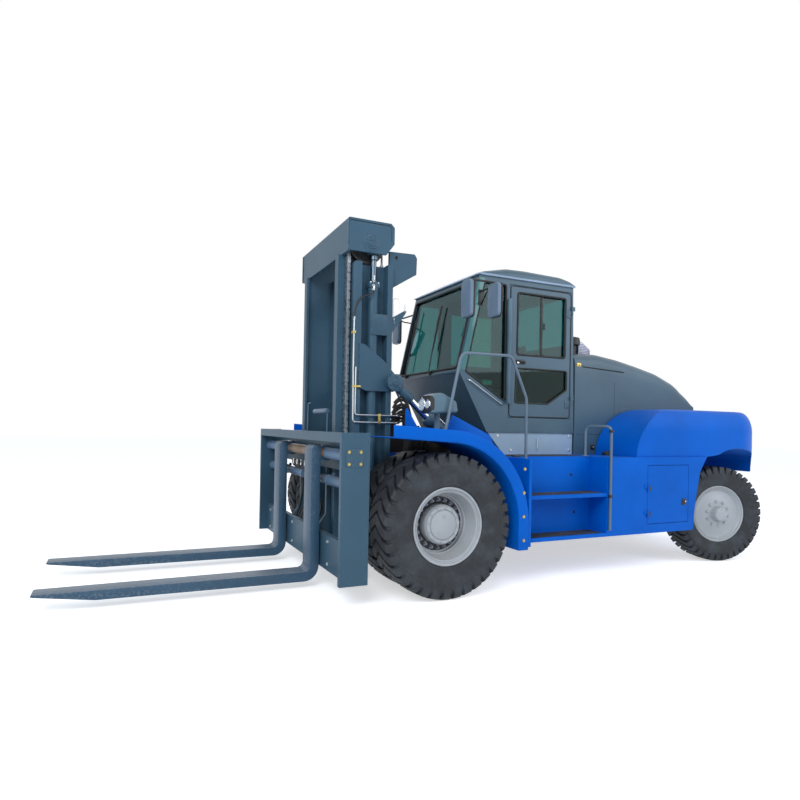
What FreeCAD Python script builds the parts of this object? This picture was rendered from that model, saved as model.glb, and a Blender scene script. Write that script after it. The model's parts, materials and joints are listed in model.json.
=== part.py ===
"""Heavy diesel counterbalance forklift truck, built up as separate welded, cast and turned pieces.

Units are millimetres.  While a piece is drawn, X = 0 is the drive axle, Y = 0 the truck's middle
plane and Z = 0 the floor; +X points along the forks and +Y to the driver's left.  The finished
pieces are moved along X so that the origin lies under the middle of the whole truck.
"""
import FreeCAD, Part
import math
import os

V = FreeCAD.Vector

# ---- driving dimensions -------------------------------------------------------------------
WHEELBASE = 4250.0
STEER_X = -WHEELBASE
PLATE = 30.0                    # common thick plate of frame and mast brackets
SHEET = 12.0                    # fenders and lids
RUNNING_GAP = 0.3               # between turning or sliding faces
BEARING_FIT = 0.1               # shafts and pins in their bores
ROD_FIT = 0.1                   # piston rods in their barrels
PANEL_GAP = 6.0                 # round doors and lids
RIM_SIDES = 20                  # flats round a rim and its tyre's bead
SHEAVE_SIDES = 18
HINGE_SIDES = 8
LUG_GROOVE = 0.30               # share of a lug's pitch taken by the groove's mouth
LUG_FLANK = 0.05                # and by each of the groove's sloping sides

DRIVE_TYRE_RADIUS = 700.0
DRIVE_TYRE_WIDTH = 375.0
DRIVE_TYRE_BEAD = 378.0
DRIVE_TYRE_Y = 1437.0           # middle of the outer tyre of a twin pair
TWIN_SPACING = 420.0
STEER_TYRE_RADIUS = 605.0
STEER_TYRE_WIDTH = 325.0
STEER_TYRE_BEAD = 358.0
STEER_TYRE_Y = 1240.0
STEER_REST_DEG = -15.0          # the steered wheels stand turned by this much
KINGPIN_Y = 980.0
KINGPIN_RADIUS = 40.0
RIM_FLANGE = 26.0
RIM_WIDTH = 0.85                # rim over its flanges, as a share of the tyre's width
TREAD_DEPTH = 36.0
TYRE_SEAT_GAP = 0.3

AXLE_HOUSING_RADIUS = 180.0
AXLE_HOUSING_HALF = 800.0
AXLE_BULGE_RADIUS = 290.0
STEER_BEAM_HALF = 130.0
STEER_PIVOT_RADIUS = 60.0
STEER_PIVOT_RISE = 20.0
KNUCKLE_RADIUS = 85.0
SPINDLE_RADIUS = 90.0
DRIVE_HUB_RADIUS = 196.0
DRIVE_HUB_FACE_Y = 1500.0
DRIVE_DISC_Y = 1380.0
STEER_SPINDLE_RADIUS = 60.0
STEER_HUB_RADIUS = 105.0
STEER_DISC_Y = 1300.0
STEER_HUB_FACE_Y = 1395.0

FRAME_Y = 450.0                 # inner side of the frame's two long plates
FRAME_PLATE = 40.0
FRAME_TOP = 1300.0
FRAME_BOTTOM = 500.0
FRAME_FRONT_X = 60.0
FRAME_REAR_X = STEER_X - 350.0
FRAME_OVER_AXLE_Z = 920.0
HANGER_OFFSET = 180.0           # from the steered axle's middle to its hangers
HANGER_PLATE = 50.0
FRAME_CROSS_X = (-450.0, STEER_X / 2.0 - 225.0)

BODY_Y = 1450.0                 # outer side of skirts and steps
BODY_BOTTOM = 450.0
DECK_TOP = 1340.0
STEP_FRONT_X = -950.0
STEP_REAR_X = -2150.0
STEP_RISER_Y = 1150.0
UPPER_STEP_Z = 940.0
TREAD_THICKNESS = 40.0
SKIRT_REAR = (                  # rear edge round the steered tyre: (distance ahead of its axle, height)
    (460.0, DECK_TOP),
    (580.0, 1155.0),
    (635.0, 907.0),
    (675.0, 660.0),
    (690.0, BODY_BOTTOM),
)
SKIRT_FLOOR_REAR_X = STEER_X + 850.0
SERVICE_DOOR_FRONT_X = STEER_X + 1470.0
SERVICE_DOOR_REAR_X = STEER_X + 790.0
SERVICE_DOOR_BOTTOM = 560.0
SERVICE_DOOR_TOP = 1240.0
SERVICE_HINGE_X = SERVICE_DOOR_FRONT_X + PANEL_GAP / 2.0
SERVICE_HINGE_RADIUS = 10.0
SERVICE_HINGE_HEIGHT = 40.0
SERVICE_HINGE_Z = (640.0, 940.0)

FENDER_RADIUS = 800.0
FENDER_INNER_Y = 940.0
FENDER_OUTER_Y = 1625.0
FENDER_TIP_X = 610.0
BRACE_Y = 1190.0
FENDER_BOTTOM = 420.0
FENDER_LIP = -STEP_FRONT_X - PLATE - FENDER_RADIUS
FENDER_CREST_DEG = 93.0
FENDER_TIP_RISE = 50.0

TAIL_X = STEER_X - 930.0
TAIL_CORNER = 700.0
TAIL_FACETS = 6
TAIL_HALF = 1420.0
TAIL_TOP = 1920.0
TAIL_SHOULDER = 1640.0
TAIL_SKIRT_Z = 1460.0
TAIL_LIP_Z = 1120.0
TAIL_FRONT_X = STEER_X + 1620.0
TAIL_NOSE = 700.0               # radius of its front corners in side view
BAY_HALF = 780.0                # pocket in the counterweight for the engine bay
BAY_REAR_X = STEER_X - 190.0
TOW_Z = 760.0
TOW_GAP = 120.0
TOW_HALF = 110.0
TOW_DEPTH = 240.0
TOW_JAW = 90.0
TOW_PIN_RADIUS = 26.0

CAB_HALF = 770.0
CAB_WALL = 50.0
CAB_FLOOR = 1600.0
DOOR_BOTTOM = 1780.0
DOOR_WAIST = 2440.0             # middle of the rail between its two panes
DOOR_TOP = 3330.0
CAB_EAVES = DOOR_TOP + 70.0
CAB_SILL_X = -600.0
CAB_SILL_Z = 2280.0
CAB_EAVES_X = -850.0
CAB_REAR_X = -2270.0
CAB_NOSE_X = -985.0
ROOF_TOP = CAB_EAVES + 160.0
ROOF_SHEET = 40.0
GLASS = 8.0
DOOR_FRONT_X = -1285.0
DOOR_REAR_X = -2205.0
DOOR_HINGE_X = DOOR_REAR_X - PANEL_GAP / 2.0
DOOR_HINGE_RADIUS = 14.0
DOOR_HINGE_HEIGHT = 50.0
DOOR_HINGE_Z = (DOOR_BOTTOM + 170.0, DOOR_TOP - 270.0)

HOOD_HALF = 768.0
HOOD_FRONT_X = CAB_REAR_X - 15.0
HOOD_REAR_X = BAY_REAR_X + 20.0
HOOD_SPLIT_Z = 1960.0
HOOD_WALL = 25.0
ENGINE_FRONT_X = HOOD_FRONT_X - 215.0
ENGINE_REAR_X = STEER_X + 350.0
HOOD_CHAMFER = 150.0
HOOD_LINE = (                   # top line: (share of its length from the cab, height over the split)
    (0.0, 640.0),
    (0.19, 660.0),
    (0.36, 615.0),
    (0.52, 550.0),
    (0.69, 470.0),
    (0.84, 350.0),
    (0.93, 210.0),
    (1.0, 20.0),
)

MAST_WEB_Y = 640.0
MAST_WEB = 30.0
MAST_FLANGE_IN_Y = 600.0
MAST_OUT_Y = 790.0
MAST_REAR_X = 250.0
MAST_FRONT_X = 675.0
MAST_REAR_FLANGE = 60.0
MAST_FRONT_FLANGE = 70.0
MAST_BOTTOM = 250.0
INNER_OUT_Y = 595.0
INNER_WEB = 35.0
INNER_IN_Y = 500.0
INNER_REAR_X = 420.0
INNER_FRONT_X = 800.0
INNER_FLANGE = 30.0
INNER_BOTTOM = 300.0
BEAM_TOP = 3780.0
BEAM_BOTTOM = BEAM_TOP - 335.0
MAST_TOP = BEAM_BOTTOM - 95.0
BEAM_HALF = 810.0
BEAM_FRONT_X = 765.0
BEAM_REAR_X = 250.0
LIFT_X = 455.0
LIFT_Y = 730.0
LIFT_BARREL_RADIUS = 54.0
LIFT_ROD_RADIUS = 32.0
LIFT_HEAD_Z = MAST_TOP - 180.0
SHEAVE_X = 515.0
SHEAVE_Z = BEAM_BOTTOM + 110.0
SHEAVE_RADIUS = 190.0
SHEAVE_PIN_RADIUS = 45.0
CHAIN_Y = 640.0
CHAIN_WIDTH = 66.0
CHAIN_THICKNESS = 28.0
CHAIN_ANCHOR_Z = 1520.0
CHAIN_LINKS = 15
CHAIN_WAIST = 7.0               # how far the links draw in between their pins
ROLLER_WIDTH = 38.0

CARRIAGE_REAR_X = 818.0
CARRIAGE_FRONT_X = 1091.0
CARRIAGE_HALF = 1567.0
CARRIAGE_END_PLATE = 47.0
CARRIAGE_BOTTOM = 214.0
CARRIAGE_TOP = 1581.0
FORK_SHAFT_X = 950.0
FORK_SHAFT_Z = 1365.0
FORK_SHAFT_RADIUS = 55.0
POSITIONER_Z = 1090.0
POSITIONER_RADIUS = 55.0

FORK_LENGTH = 2440.0
FORK_WIDTH = 245.0
FORK_THICKNESS = 95.0
FORK_Y = 624.0
FORK_FRONT_X = 1100.0
FORK_TOP_Z = 165.0
FORK_TIP = 16.0

LAMP_Y = 1335.0
LAMP_Z = 1862.0
LAMP_RADIUS = 44.0
RAIL_RADIUS = 17.0
RAIL_FOOT_GAP = 6.0

TILT_Y = 850.0
TILT_MAST_X = 250.0
TILT_MAST_Z = 2100.0
TILT_FRAME_X = -800.0
TILT_FRAME_Z = 1190.0
TILT_BARREL_RADIUS = 75.0
TILT_ROD_RADIUS = 40.0
TILT_BARREL_END = 860.0
TILT_PIN_RADIUS = 35.0
TILT_EYE_PLAY = 6.0             # room for the rod's eye to wander on the mast's pin

FORK_TIP_X = FORK_FRONT_X + FORK_LENGTH
ORIGIN_X = (FORK_TIP_X + TAIL_X) / 2.0


# ---- drawing helpers ----------------------------------------------------------------------
def box(x0, x1, y0, y1, z0, z1):
    """Block between two opposite corners, given in any order."""
    low = V(min(x0, x1), min(y0, y1), min(z0, z1))
    return Part.makeBox(abs(x1 - x0), abs(y1 - y0), abs(z1 - z0), low)


def slab_y(outline, y0, y1):
    """Plate whose outline is drawn in X and Z, between two Y planes."""
    wire = Part.makePolygon([V(x, y0, z) for x, z in outline] + [V(outline[0][0], y0, outline[0][1])])
    return Part.Face(wire).extrude(V(0, y1 - y0, 0))


def slab_z(outline, z0, z1):
    """Plate whose outline is drawn in X and Y, between two Z planes."""
    wire = Part.makePolygon([V(x, y, z0) for x, y in outline] + [V(outline[0][0], outline[0][1], z0)])
    return Part.Face(wire).extrude(V(0, 0, z1 - z0))


def closed(faces):
    """The solid inside faces that meet all round."""
    shell = Part.Shell(faces)
    shell.sewShape()
    solid = Part.Solid(shell)
    if solid.Volume < 0:
        solid.reverse()
    return solid


def skinned(sections):
    """Solid through polygons with equal counts of corners, joined by flat triangles."""
    faces = [Part.Face(Part.makePolygon(ring + ring[:1])) for ring in (sections[0], sections[-1])]
    for one, two in zip(sections, sections[1:]):
        for k in range(len(one)):
            n = (k + 1) % len(one)
            faces.append(Part.Face(Part.makePolygon([one[k], one[n], two[n], one[k]])))
            faces.append(Part.Face(Part.makePolygon([one[k], two[n], two[k], one[k]])))
    return closed(faces)


def spun(profile, base, axis, sides, turn=0.0):
    """A closed profile of (radius, distance along the axis) swept round the axis in flat facets.

    The first corner stands a share of one facet, the turn, past straight up.
    """
    axis = V(axis).normalize()
    start = V(0, 0, 1) if abs(axis.z) < 0.9 else V(1, 0, 0)
    across = axis.cross(start).normalize()
    start = across.cross(axis)
    rings = []
    for radius, along in profile:
        ring = []
        for k in range(sides):
            angle = 2.0 * math.pi * (k + turn) / sides
            ring.append(base + axis * along + start * (radius * math.cos(angle)) + across * (radius * math.sin(angle)))
        rings.append(ring)
    faces = []
    for i, (radius, along) in enumerate(profile):
        j = (i + 1) % len(profile)
        if radius == 0.0 and profile[j][0] == 0.0:
            continue
        if profile[j][0] == 0.0 and profile[j][1] == along:
            faces.append(Part.Face(Part.makePolygon(rings[i] + rings[i][:1])))
            continue
        if radius == 0.0 and profile[j][1] == along:
            faces.append(Part.Face(Part.makePolygon(rings[j] + rings[j][:1])))
            continue
        for k in range(sides):
            n = (k + 1) % sides
            corners = [rings[i][k], rings[i][n], rings[j][n], rings[j][k]]
            faces.append(Part.Face(Part.makePolygon(corners + corners[:1])))
    return closed(faces)


def facets(radius):
    """How many flats a round bar of this radius gets."""
    if radius < 25.0:
        return 6
    if radius < 70.0:
        return 10
    return 14


def rod(start, end, radius, turn=0.0):
    """Round bar between two points."""
    axis = end - start
    profile = [(0.0, 0.0), (radius, 0.0), (radius, axis.Length), (0.0, axis.Length)]
    return spun(profile, start, axis, facets(radius), turn)


def bore(start, end, radius, turn=0.5):
    """Tool for a shaft's hole: its flats touch the radius, and stand where the shaft has its corners."""
    return rod(start, end, radius / math.cos(math.pi / facets(radius)), turn)


def bar_y(x, z, y0, y1, radius):
    """Round bar along Y."""
    return rod(V(x, min(y0, y1), z), V(x, max(y0, y1), z), radius)


def bore_y(x, z, y0, y1, radius):
    """Tool for a hole along Y."""
    return bore(V(x, min(y0, y1), z), V(x, max(y0, y1), z), radius)


def post(x, y, z0, z1, radius):
    """Round bar standing along Z."""
    return rod(V(x, y, z0), V(x, y, z1), radius)


def fuse(shapes):
    """One solid from pieces that are welded together."""
    shapes = list(shapes)
    if len(shapes) == 1:
        return shapes[0]
    return shapes[0].fuse(shapes[1:]).removeSplitter()


def cut(shape, tools):
    """The shape with every tool taken out of it."""
    return shape.cut(list(tools))


def group(shapes):
    """Like pieces that share a node without touching."""
    return Part.makeCompound(list(shapes))


def mirrored(shape):
    """The same piece on the other side of the truck."""
    return shape.mirror(V(0, 0, 0), V(0, 1, 0))


def both(shape):
    """A piece and its mirror image."""
    return group([shape, mirrored(shape)])


def tube_path(points, radius, bend, sides=6, steps=2):
    """Bent tube through the points, each corner rounded to one bend radius and mitred in short runs."""
    path = [points[0]]
    for corner, before, after in zip(points[1:-1], points, points[2:]):
        back = (before - corner).normalize()
        ahead = (after - corner).normalize()
        half = back.getAngle(ahead) / 2.0
        centre = corner + (back + ahead).normalize() * (bend / math.sin(half))
        first = corner + back * (bend / math.tan(half)) - centre
        last = corner + ahead * (bend / math.tan(half)) - centre
        sweep = first.getAngle(last)
        for k in range(steps + 1):
            share = sweep * k / steps
            path.append(centre + (first * math.sin(sweep - share) + last * math.sin(share)) * (1.0 / math.sin(sweep)))
    path.append(points[-1])
    way = (path[1] - path[0]).normalize()
    across = way.cross(V(0, 0, 1) if abs(way.z) < 0.9 else V(1, 0, 0)).normalize()
    side = across.cross(way)
    ring = []
    for k in range(sides):
        angle = 2.0 * math.pi * (k + 0.5) / sides
        ring.append(path[0] + across * (radius * math.cos(angle)) + side * (radius * math.sin(angle)))
    faces = [Part.Face(Part.makePolygon(ring + ring[:1]))]
    for i in range(1, len(path)):
        way = (path[i] - path[i - 1]).normalize()
        following = (path[i + 1] - path[i]).normalize() if i + 1 < len(path) else way
        normal = (way + following).normalize()
        moved = [corner + way * ((path[i] - corner).dot(normal) / way.dot(normal)) for corner in ring]
        for k in range(sides):
            n = (k + 1) % sides
            faces.append(Part.Face(Part.makePolygon([ring[k], ring[n], moved[n], moved[k], ring[k]])))
        ring = moved
    faces.append(Part.Face(Part.makePolygon(ring + ring[:1])))
    return closed(faces)


def turned(profile, centre_x, centre_z, sides, turn=0.0):
    """Wheel-like piece: a closed profile of (radius, y) swept round Y in flat facets."""
    return spun(profile, V(centre_x, 0, centre_z), V(0, 1, 0), sides, turn)


# ---- wheels -------------------------------------------------------------------------------
def tyre(radius, width, bead, y, centre_x):
    """Tyre with lugs that run in a V from both shoulders, and its bead seat as the bore.

    Four corners make one lug's pitch on the shoulder and middle rings: two on the groove's floor
    and two on the lug's top.  The tyre stands on the flat of a lug.
    """
    half = width / 2.0
    depth = radius - bead
    pitch = 2.0 * math.pi / RIM_SIDES
    lug_half = pitch * (1.0 - LUG_GROOVE - LUG_FLANK) / 2.0
    top = radius / math.cos(lug_half)
    floor = radius - TREAD_DEPTH
    lug_shares = (0.0, LUG_GROOVE - LUG_FLANK, LUG_GROOVE, 1.0 - LUG_FLANK)
    lug_middle = (LUG_GROOVE + 1.0 - LUG_FLANK) / 2.0

    def corner(ring_radius, ring_y, angle):
        return V(centre_x + ring_radius * math.sin(angle), y + ring_y, radius - ring_radius * math.cos(angle))

    def plain(ring_radius, ring_y):
        return [corner(ring_radius, ring_y, pitch * (k + 0.5)) for k in range(RIM_SIDES)]

    def lugged(groove_y, lug_y, groove_radius):
        ring = []
        for k in range(RIM_SIDES):
            for share, on_lug in zip(lug_shares, (False, False, True, True)):
                angle = pitch * (k + share - lug_middle)
                ring.append(corner(top if on_lug else groove_radius, lug_y if on_lug else groove_y, angle))
        return ring

    def face(*corners):
        return Part.Face(Part.makePolygon(list(corners) + [corners[0]]))

    faces = []
    middle = lugged(0.0, 0.0, floor)
    seats = []
    for side in (-1.0, 1.0):
        seat = plain(bead, side * half * 0.74)
        wall = plain(bead + depth * 0.38, side * half)
        shoulder = lugged(side * half * 0.80, side * half * 0.92, floor - 12.0)
        seats.append(seat)
        count = len(middle)
        for k in range(RIM_SIDES):
            n = (k + 1) % RIM_SIDES
            faces.append(face(seat[k], seat[n], wall[n], wall[k]))
            fan = [shoulder[(4 * k + j) % count] for j in range(2, 7)]
            for one, two in zip(fan[:2], fan[1:3]):
                faces.append(face(wall[k], one, two))
            faces.append(face(wall[k], fan[2], wall[n]))
            for one, two in zip(fan[2:4], fan[3:]):
                faces.append(face(wall[n], one, two))
        for k in range(count):
            n = (k + 1) % count
            ahead = (k + 4) % count
            ahead_n = (n + 4) % count
            faces.append(face(shoulder[k], shoulder[n], middle[ahead_n]))
            faces.append(face(shoulder[k], middle[ahead_n], middle[ahead]))
    for k in range(RIM_SIDES):
        n = (k + 1) % RIM_SIDES
        faces.append(face(seats[0][k], seats[0][n], seats[1][n], seats[1][k]))
    return closed(faces)


def drive_tyres():
    """The twin tyres of one driven wheel."""
    outer = tyre(DRIVE_TYRE_RADIUS, DRIVE_TYRE_WIDTH, DRIVE_TYRE_BEAD, DRIVE_TYRE_Y, 0.0)
    inner = tyre(
        DRIVE_TYRE_RADIUS, DRIVE_TYRE_WIDTH, DRIVE_TYRE_BEAD, DRIVE_TYRE_Y - TWIN_SPACING, 0.0
    )
    return group([outer, inner])


def drive_rim():
    """Both rims of a twin pair with the hub drum and planetary cover between them."""
    seat = DRIVE_TYRE_BEAD - TYRE_SEAT_GAP
    half = DRIVE_TYRE_WIDTH * RIM_WIDTH / 2.0
    outer_face = DRIVE_TYRE_Y + half
    inner_face = DRIVE_TYRE_Y - TWIN_SPACING - half
    well = seat - RIM_FLANGE
    spindle_bore = (SPINDLE_RADIUS + BEARING_FIT) / math.cos(math.pi / RIM_SIDES)
    profile = [
        (seat, outer_face),
        (well - 12.0, outer_face - 30.0),
        (well - 64.0, DRIVE_DISC_Y),
        (DRIVE_HUB_RADIUS, DRIVE_DISC_Y),
        (DRIVE_HUB_RADIUS, DRIVE_HUB_FACE_Y - 25.0),
        (DRIVE_HUB_RADIUS - 20.0, DRIVE_HUB_FACE_Y),
        (spindle_bore, DRIVE_HUB_FACE_Y),
        (spindle_bore, DRIVE_DISC_Y - 260.0),
        (DRIVE_HUB_RADIUS + 30.0, DRIVE_DISC_Y - 60.0),
        (well - 20.0, DRIVE_DISC_Y - 60.0),
        (well, inner_face),
        (seat, inner_face),
    ]
    return turned(profile, 0.0, DRIVE_TYRE_RADIUS, RIM_SIDES, 0.5)


def steer_tyre():
    """One steered tyre, drawn straight ahead."""
    return tyre(STEER_TYRE_RADIUS, STEER_TYRE_WIDTH, STEER_TYRE_BEAD, STEER_TYRE_Y, STEER_X)


def steer_rim():
    """Steered rim with its outer disc and proud hub cap, drawn straight ahead."""
    seat = STEER_TYRE_BEAD - TYRE_SEAT_GAP
    half = STEER_TYRE_WIDTH * RIM_WIDTH / 2.0
    well = seat - RIM_FLANGE
    outer_face = STEER_TYRE_Y + half
    inner_face = STEER_TYRE_Y - half
    spindle_bore = (STEER_SPINDLE_RADIUS + BEARING_FIT) / math.cos(math.pi / RIM_SIDES)
    profile = [
        (seat, outer_face),
        (well, outer_face - 20.0),
        (well - 20.0, STEER_DISC_Y + 25.0),
        (STEER_HUB_RADIUS, STEER_DISC_Y + 30.0),
        (STEER_HUB_RADIUS - 12.0, STEER_HUB_FACE_Y),
        (spindle_bore, STEER_HUB_FACE_Y),
        (spindle_bore, STEER_DISC_Y - 130.0),
        (STEER_HUB_RADIUS, STEER_DISC_Y),
        (well - 24.0, STEER_DISC_Y),
        (well - 10.0, inner_face),
        (seat, inner_face),
    ]
    return turned(profile, STEER_X, STEER_TYRE_RADIUS, RIM_SIDES, 0.5)


def knuckle():
    """Steering knuckle: a hub block on the kingpin with the wheel's spindle."""
    z = STEER_TYRE_RADIUS
    block = post(STEER_X, KINGPIN_Y, z - 125.0, z + 125.0, KNUCKLE_RADIUS)
    low = V(STEER_X, KINGPIN_Y, z - 130.0)
    high = V(STEER_X, KINGPIN_Y, z + 130.0)
    corner_turn = 0.5 + STEER_REST_DEG * facets(KINGPIN_RADIUS) / 360.0
    hole = bore(low, high, KINGPIN_RADIUS + BEARING_FIT, corner_turn)
    spindle = bar_y(STEER_X, z, KINGPIN_Y + KINGPIN_RADIUS + 12.0, STEER_HUB_FACE_Y - 25.0, STEER_SPINDLE_RADIUS)
    return fuse([block, spindle]).cut(hole)


def turned_to_rest(shape, side):
    """A piece of a steered wheel, turned about its kingpin to where it stands."""
    placed = shape if side > 0 else mirrored(shape)
    placed = placed.copy()
    placed.rotate(V(STEER_X, side * KINGPIN_Y, 0), V(0, 0, 1), STEER_REST_DEG)
    return placed


# ---- axles and frame ----------------------------------------------------------------------
def drive_axle():
    """Driven axle: housing with the differential's bulge, frame pads and hub spindles."""
    z = DRIVE_TYRE_RADIUS
    half = [
        (0.0, DRIVE_HUB_FACE_Y - 30.0),
        (SPINDLE_RADIUS, DRIVE_HUB_FACE_Y - 30.0),
        (SPINDLE_RADIUS, AXLE_HOUSING_HALF),
        (AXLE_HOUSING_RADIUS, AXLE_HOUSING_HALF),
        (AXLE_HOUSING_RADIUS, 300.0),
        (AXLE_BULGE_RADIUS, 130.0),
    ]
    profile = [(radius, -y) for radius, y in half] + half[::-1]
    housing = turned(profile, 0.0, z, facets(AXLE_HOUSING_RADIUS))
    pads = []
    for side in (-1, 1):
        pads.append(
            box(-130.0, 60.0, side * (FRAME_Y - 30.0), side * (FRAME_Y + 110.0), z, FRAME_OVER_AXLE_Z)
        )
    return fuse([housing] + pads)


def steer_axle():
    """Steered axle: box beam with forked ends, kingpins and the oscillation pin."""
    z = STEER_TYRE_RADIUS
    beam_end = KINGPIN_Y - 120.0
    beam = box(STEER_X - STEER_BEAM_HALF, STEER_X + STEER_BEAM_HALF, -beam_end, beam_end, z - 150.0, z + 170.0)
    pieces = [beam]
    for side in (-1, 1):
        for low, high in ((z - 190.0, z - 130.0), (z + 130.0, z + 190.0)):
            pieces.append(
                box(
                    STEER_X - KNUCKLE_RADIUS,
                    STEER_X + KNUCKLE_RADIUS,
                    side * (beam_end - 60.0),
                    side * KINGPIN_Y,
                    low,
                    high,
                )
            )
            pieces.append(post(STEER_X, side * KINGPIN_Y, low, high, KNUCKLE_RADIUS))
        pieces.append(post(STEER_X, side * KINGPIN_Y, z - 200.0, z + 200.0, KINGPIN_RADIUS))
    pivot_z = z + STEER_PIVOT_RISE
    pieces.append(rod(V(STEER_X - 250.0, 0, pivot_z), V(STEER_X + 250.0, 0, pivot_z), STEER_PIVOT_RADIUS))
    return fuse(pieces)


def frame():
    """Chassis frame: two deep plates, cross plates, rear axle hangers and tilt towers."""
    outline = [
        (FRAME_FRONT_X, FRAME_OVER_AXLE_Z),
        (FRAME_FRONT_X, FRAME_TOP),
        (FRAME_REAR_X, FRAME_TOP),
        (FRAME_REAR_X, FRAME_OVER_AXLE_Z + 30.0),
        (STEER_X + 690.0, FRAME_OVER_AXLE_Z + 30.0),
        (STEER_X + 950.0, FRAME_BOTTOM),
        (FRAME_CROSS_X[0] + PLATE, FRAME_BOTTOM),
        (FRAME_CROSS_X[0] + 120.0, FRAME_OVER_AXLE_Z),
    ]
    pieces = []
    for side in (-1, 1):
        pieces.append(slab_y(outline, side * FRAME_Y, side * (FRAME_Y + FRAME_PLATE)))
        tower = [
            (TILT_FRAME_X - 90.0, 1040.0),
            (TILT_FRAME_X + 70.0, 1040.0),
            (TILT_FRAME_X + 70.0, TILT_FRAME_Z + 60.0),
            (TILT_FRAME_X - 90.0, TILT_FRAME_Z + 60.0),
        ]
        tower_y = TILT_Y - TILT_BARREL_RADIUS - PANEL_GAP
        inner_ear = slab_y(tower, side * (FRAME_Y + FRAME_PLATE), side * tower_y)
        pin = bar_y(TILT_FRAME_X, TILT_FRAME_Z, side * tower_y, side * (TILT_Y + 60.0), TILT_PIN_RADIUS)
        pieces += [inner_ear, pin]
    inside = FRAME_Y + FRAME_PLATE / 2.0
    pieces.append(box(FRAME_FRONT_X - PLATE, FRAME_FRONT_X, -inside, inside, 1010.0, FRAME_TOP))
    for x in FRAME_CROSS_X:
        pieces.append(box(x, x + PLATE, -inside, inside, FRAME_BOTTOM, FRAME_TOP))
    hanger_z = FRAME_OVER_AXLE_Z + PLATE
    for way in (-1, 1):
        near = STEER_X + way * HANGER_OFFSET
        far = near + way * HANGER_PLATE
        pieces.append(box(near, far, -inside, inside, hanger_z, FRAME_TOP))
        pieces.append(box(near, far, -160.0, 160.0, FRAME_BOTTOM + 20.0, hanger_z))
    whole = fuse(pieces)
    pivot_z = STEER_TYRE_RADIUS + STEER_PIVOT_RISE
    pivot = bore(
        V(STEER_X - 260.0, 0, pivot_z), V(STEER_X + 260.0, 0, pivot_z), STEER_PIVOT_RADIUS + BEARING_FIT
    )
    return whole.cut(pivot)


# ---- bodywork -----------------------------------------------------------------------------
def side_steps():
    """Left step bay: the deck, its riser, two treads and the plate that closes it at the front."""
    inside = FRAME_Y + FRAME_PLATE
    deck = box(STEP_FRONT_X, STEP_REAR_X, inside, STEP_RISER_Y + PLATE, FRAME_TOP, DECK_TOP)
    riser = box(STEP_FRONT_X, STEP_REAR_X, STEP_RISER_Y, STEP_RISER_Y + PLATE, BODY_BOTTOM, DECK_TOP)
    upper = box(
        STEP_FRONT_X, STEP_REAR_X, STEP_RISER_Y, BODY_Y, UPPER_STEP_Z - TREAD_THICKNESS, UPPER_STEP_Z
    )
    lower = box(STEP_FRONT_X, STEP_REAR_X, STEP_RISER_Y, BODY_Y, BODY_BOTTOM, BODY_BOTTOM + TREAD_THICKNESS)
    front_plate = box(
        STEP_FRONT_X, STEP_FRONT_X + PLATE, inside, FENDER_OUTER_Y, BODY_BOTTOM, DECK_TOP
    )
    return fuse([deck, riser, upper, lower, front_plate])


def side_body():
    """Left skirt with its top deck, floor and the service door's opening: closed, and open for the door."""
    rear_edge = [(STEER_X + ahead, z) for ahead, z in SKIRT_REAR]
    skirt = slab_y([(STEP_REAR_X, BODY_BOTTOM), (STEP_REAR_X, DECK_TOP)] + rear_edge, BODY_Y - PLATE, BODY_Y)
    inside = FRAME_Y + FRAME_PLATE
    rear_deck = box(STEP_REAR_X, rear_edge[0][0] + 350.0, inside, BODY_Y, FRAME_TOP, DECK_TOP)
    return_plate = box(STEP_REAR_X, STEP_REAR_X - PLATE, STEP_RISER_Y, BODY_Y, BODY_BOTTOM, DECK_TOP)
    floor = box(STEP_REAR_X, SKIRT_FLOOR_REAR_X, STEP_RISER_Y, BODY_Y, BODY_BOTTOM, BODY_BOTTOM + PLATE)
    whole = fuse([skirt, rear_deck, return_plate, floor])
    opening = box(
        SERVICE_DOOR_FRONT_X + PANEL_GAP,
        SERVICE_DOOR_REAR_X - PANEL_GAP,
        BODY_Y - 2.0 * PLATE,
        BODY_Y + PLATE,
        SERVICE_DOOR_BOTTOM - PANEL_GAP,
        SERVICE_DOOR_TOP + PANEL_GAP,
    )
    return whole, fuse([whole.cut(opening)] + service_hinges(False))


def service_hinges(lower):
    """Lower or upper halves of the service door's two hinges."""
    y = BODY_Y + SERVICE_HINGE_RADIUS
    halves = []
    for z in SERVICE_HINGE_Z:
        z0 = z if lower else z + SERVICE_HINGE_HEIGHT + RUNNING_GAP
        leaf_x = SERVICE_HINGE_X - 50.0 if lower else SERVICE_HINGE_X + 50.0
        halves.append(
            hinge_half(
                SERVICE_HINGE_X, y, z0, z0 + SERVICE_HINGE_HEIGHT, SERVICE_HINGE_RADIUS, leaf_x, BODY_Y + 8.0
            )
        )
    return halves


def service_door():
    """Door in the left skirt, hinged at its front edge."""
    leaf = box(
        SERVICE_DOOR_FRONT_X, SERVICE_DOOR_REAR_X, BODY_Y - PLATE, BODY_Y, SERVICE_DOOR_BOTTOM, SERVICE_DOOR_TOP
    )
    return fuse([leaf] + service_hinges(True))


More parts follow.
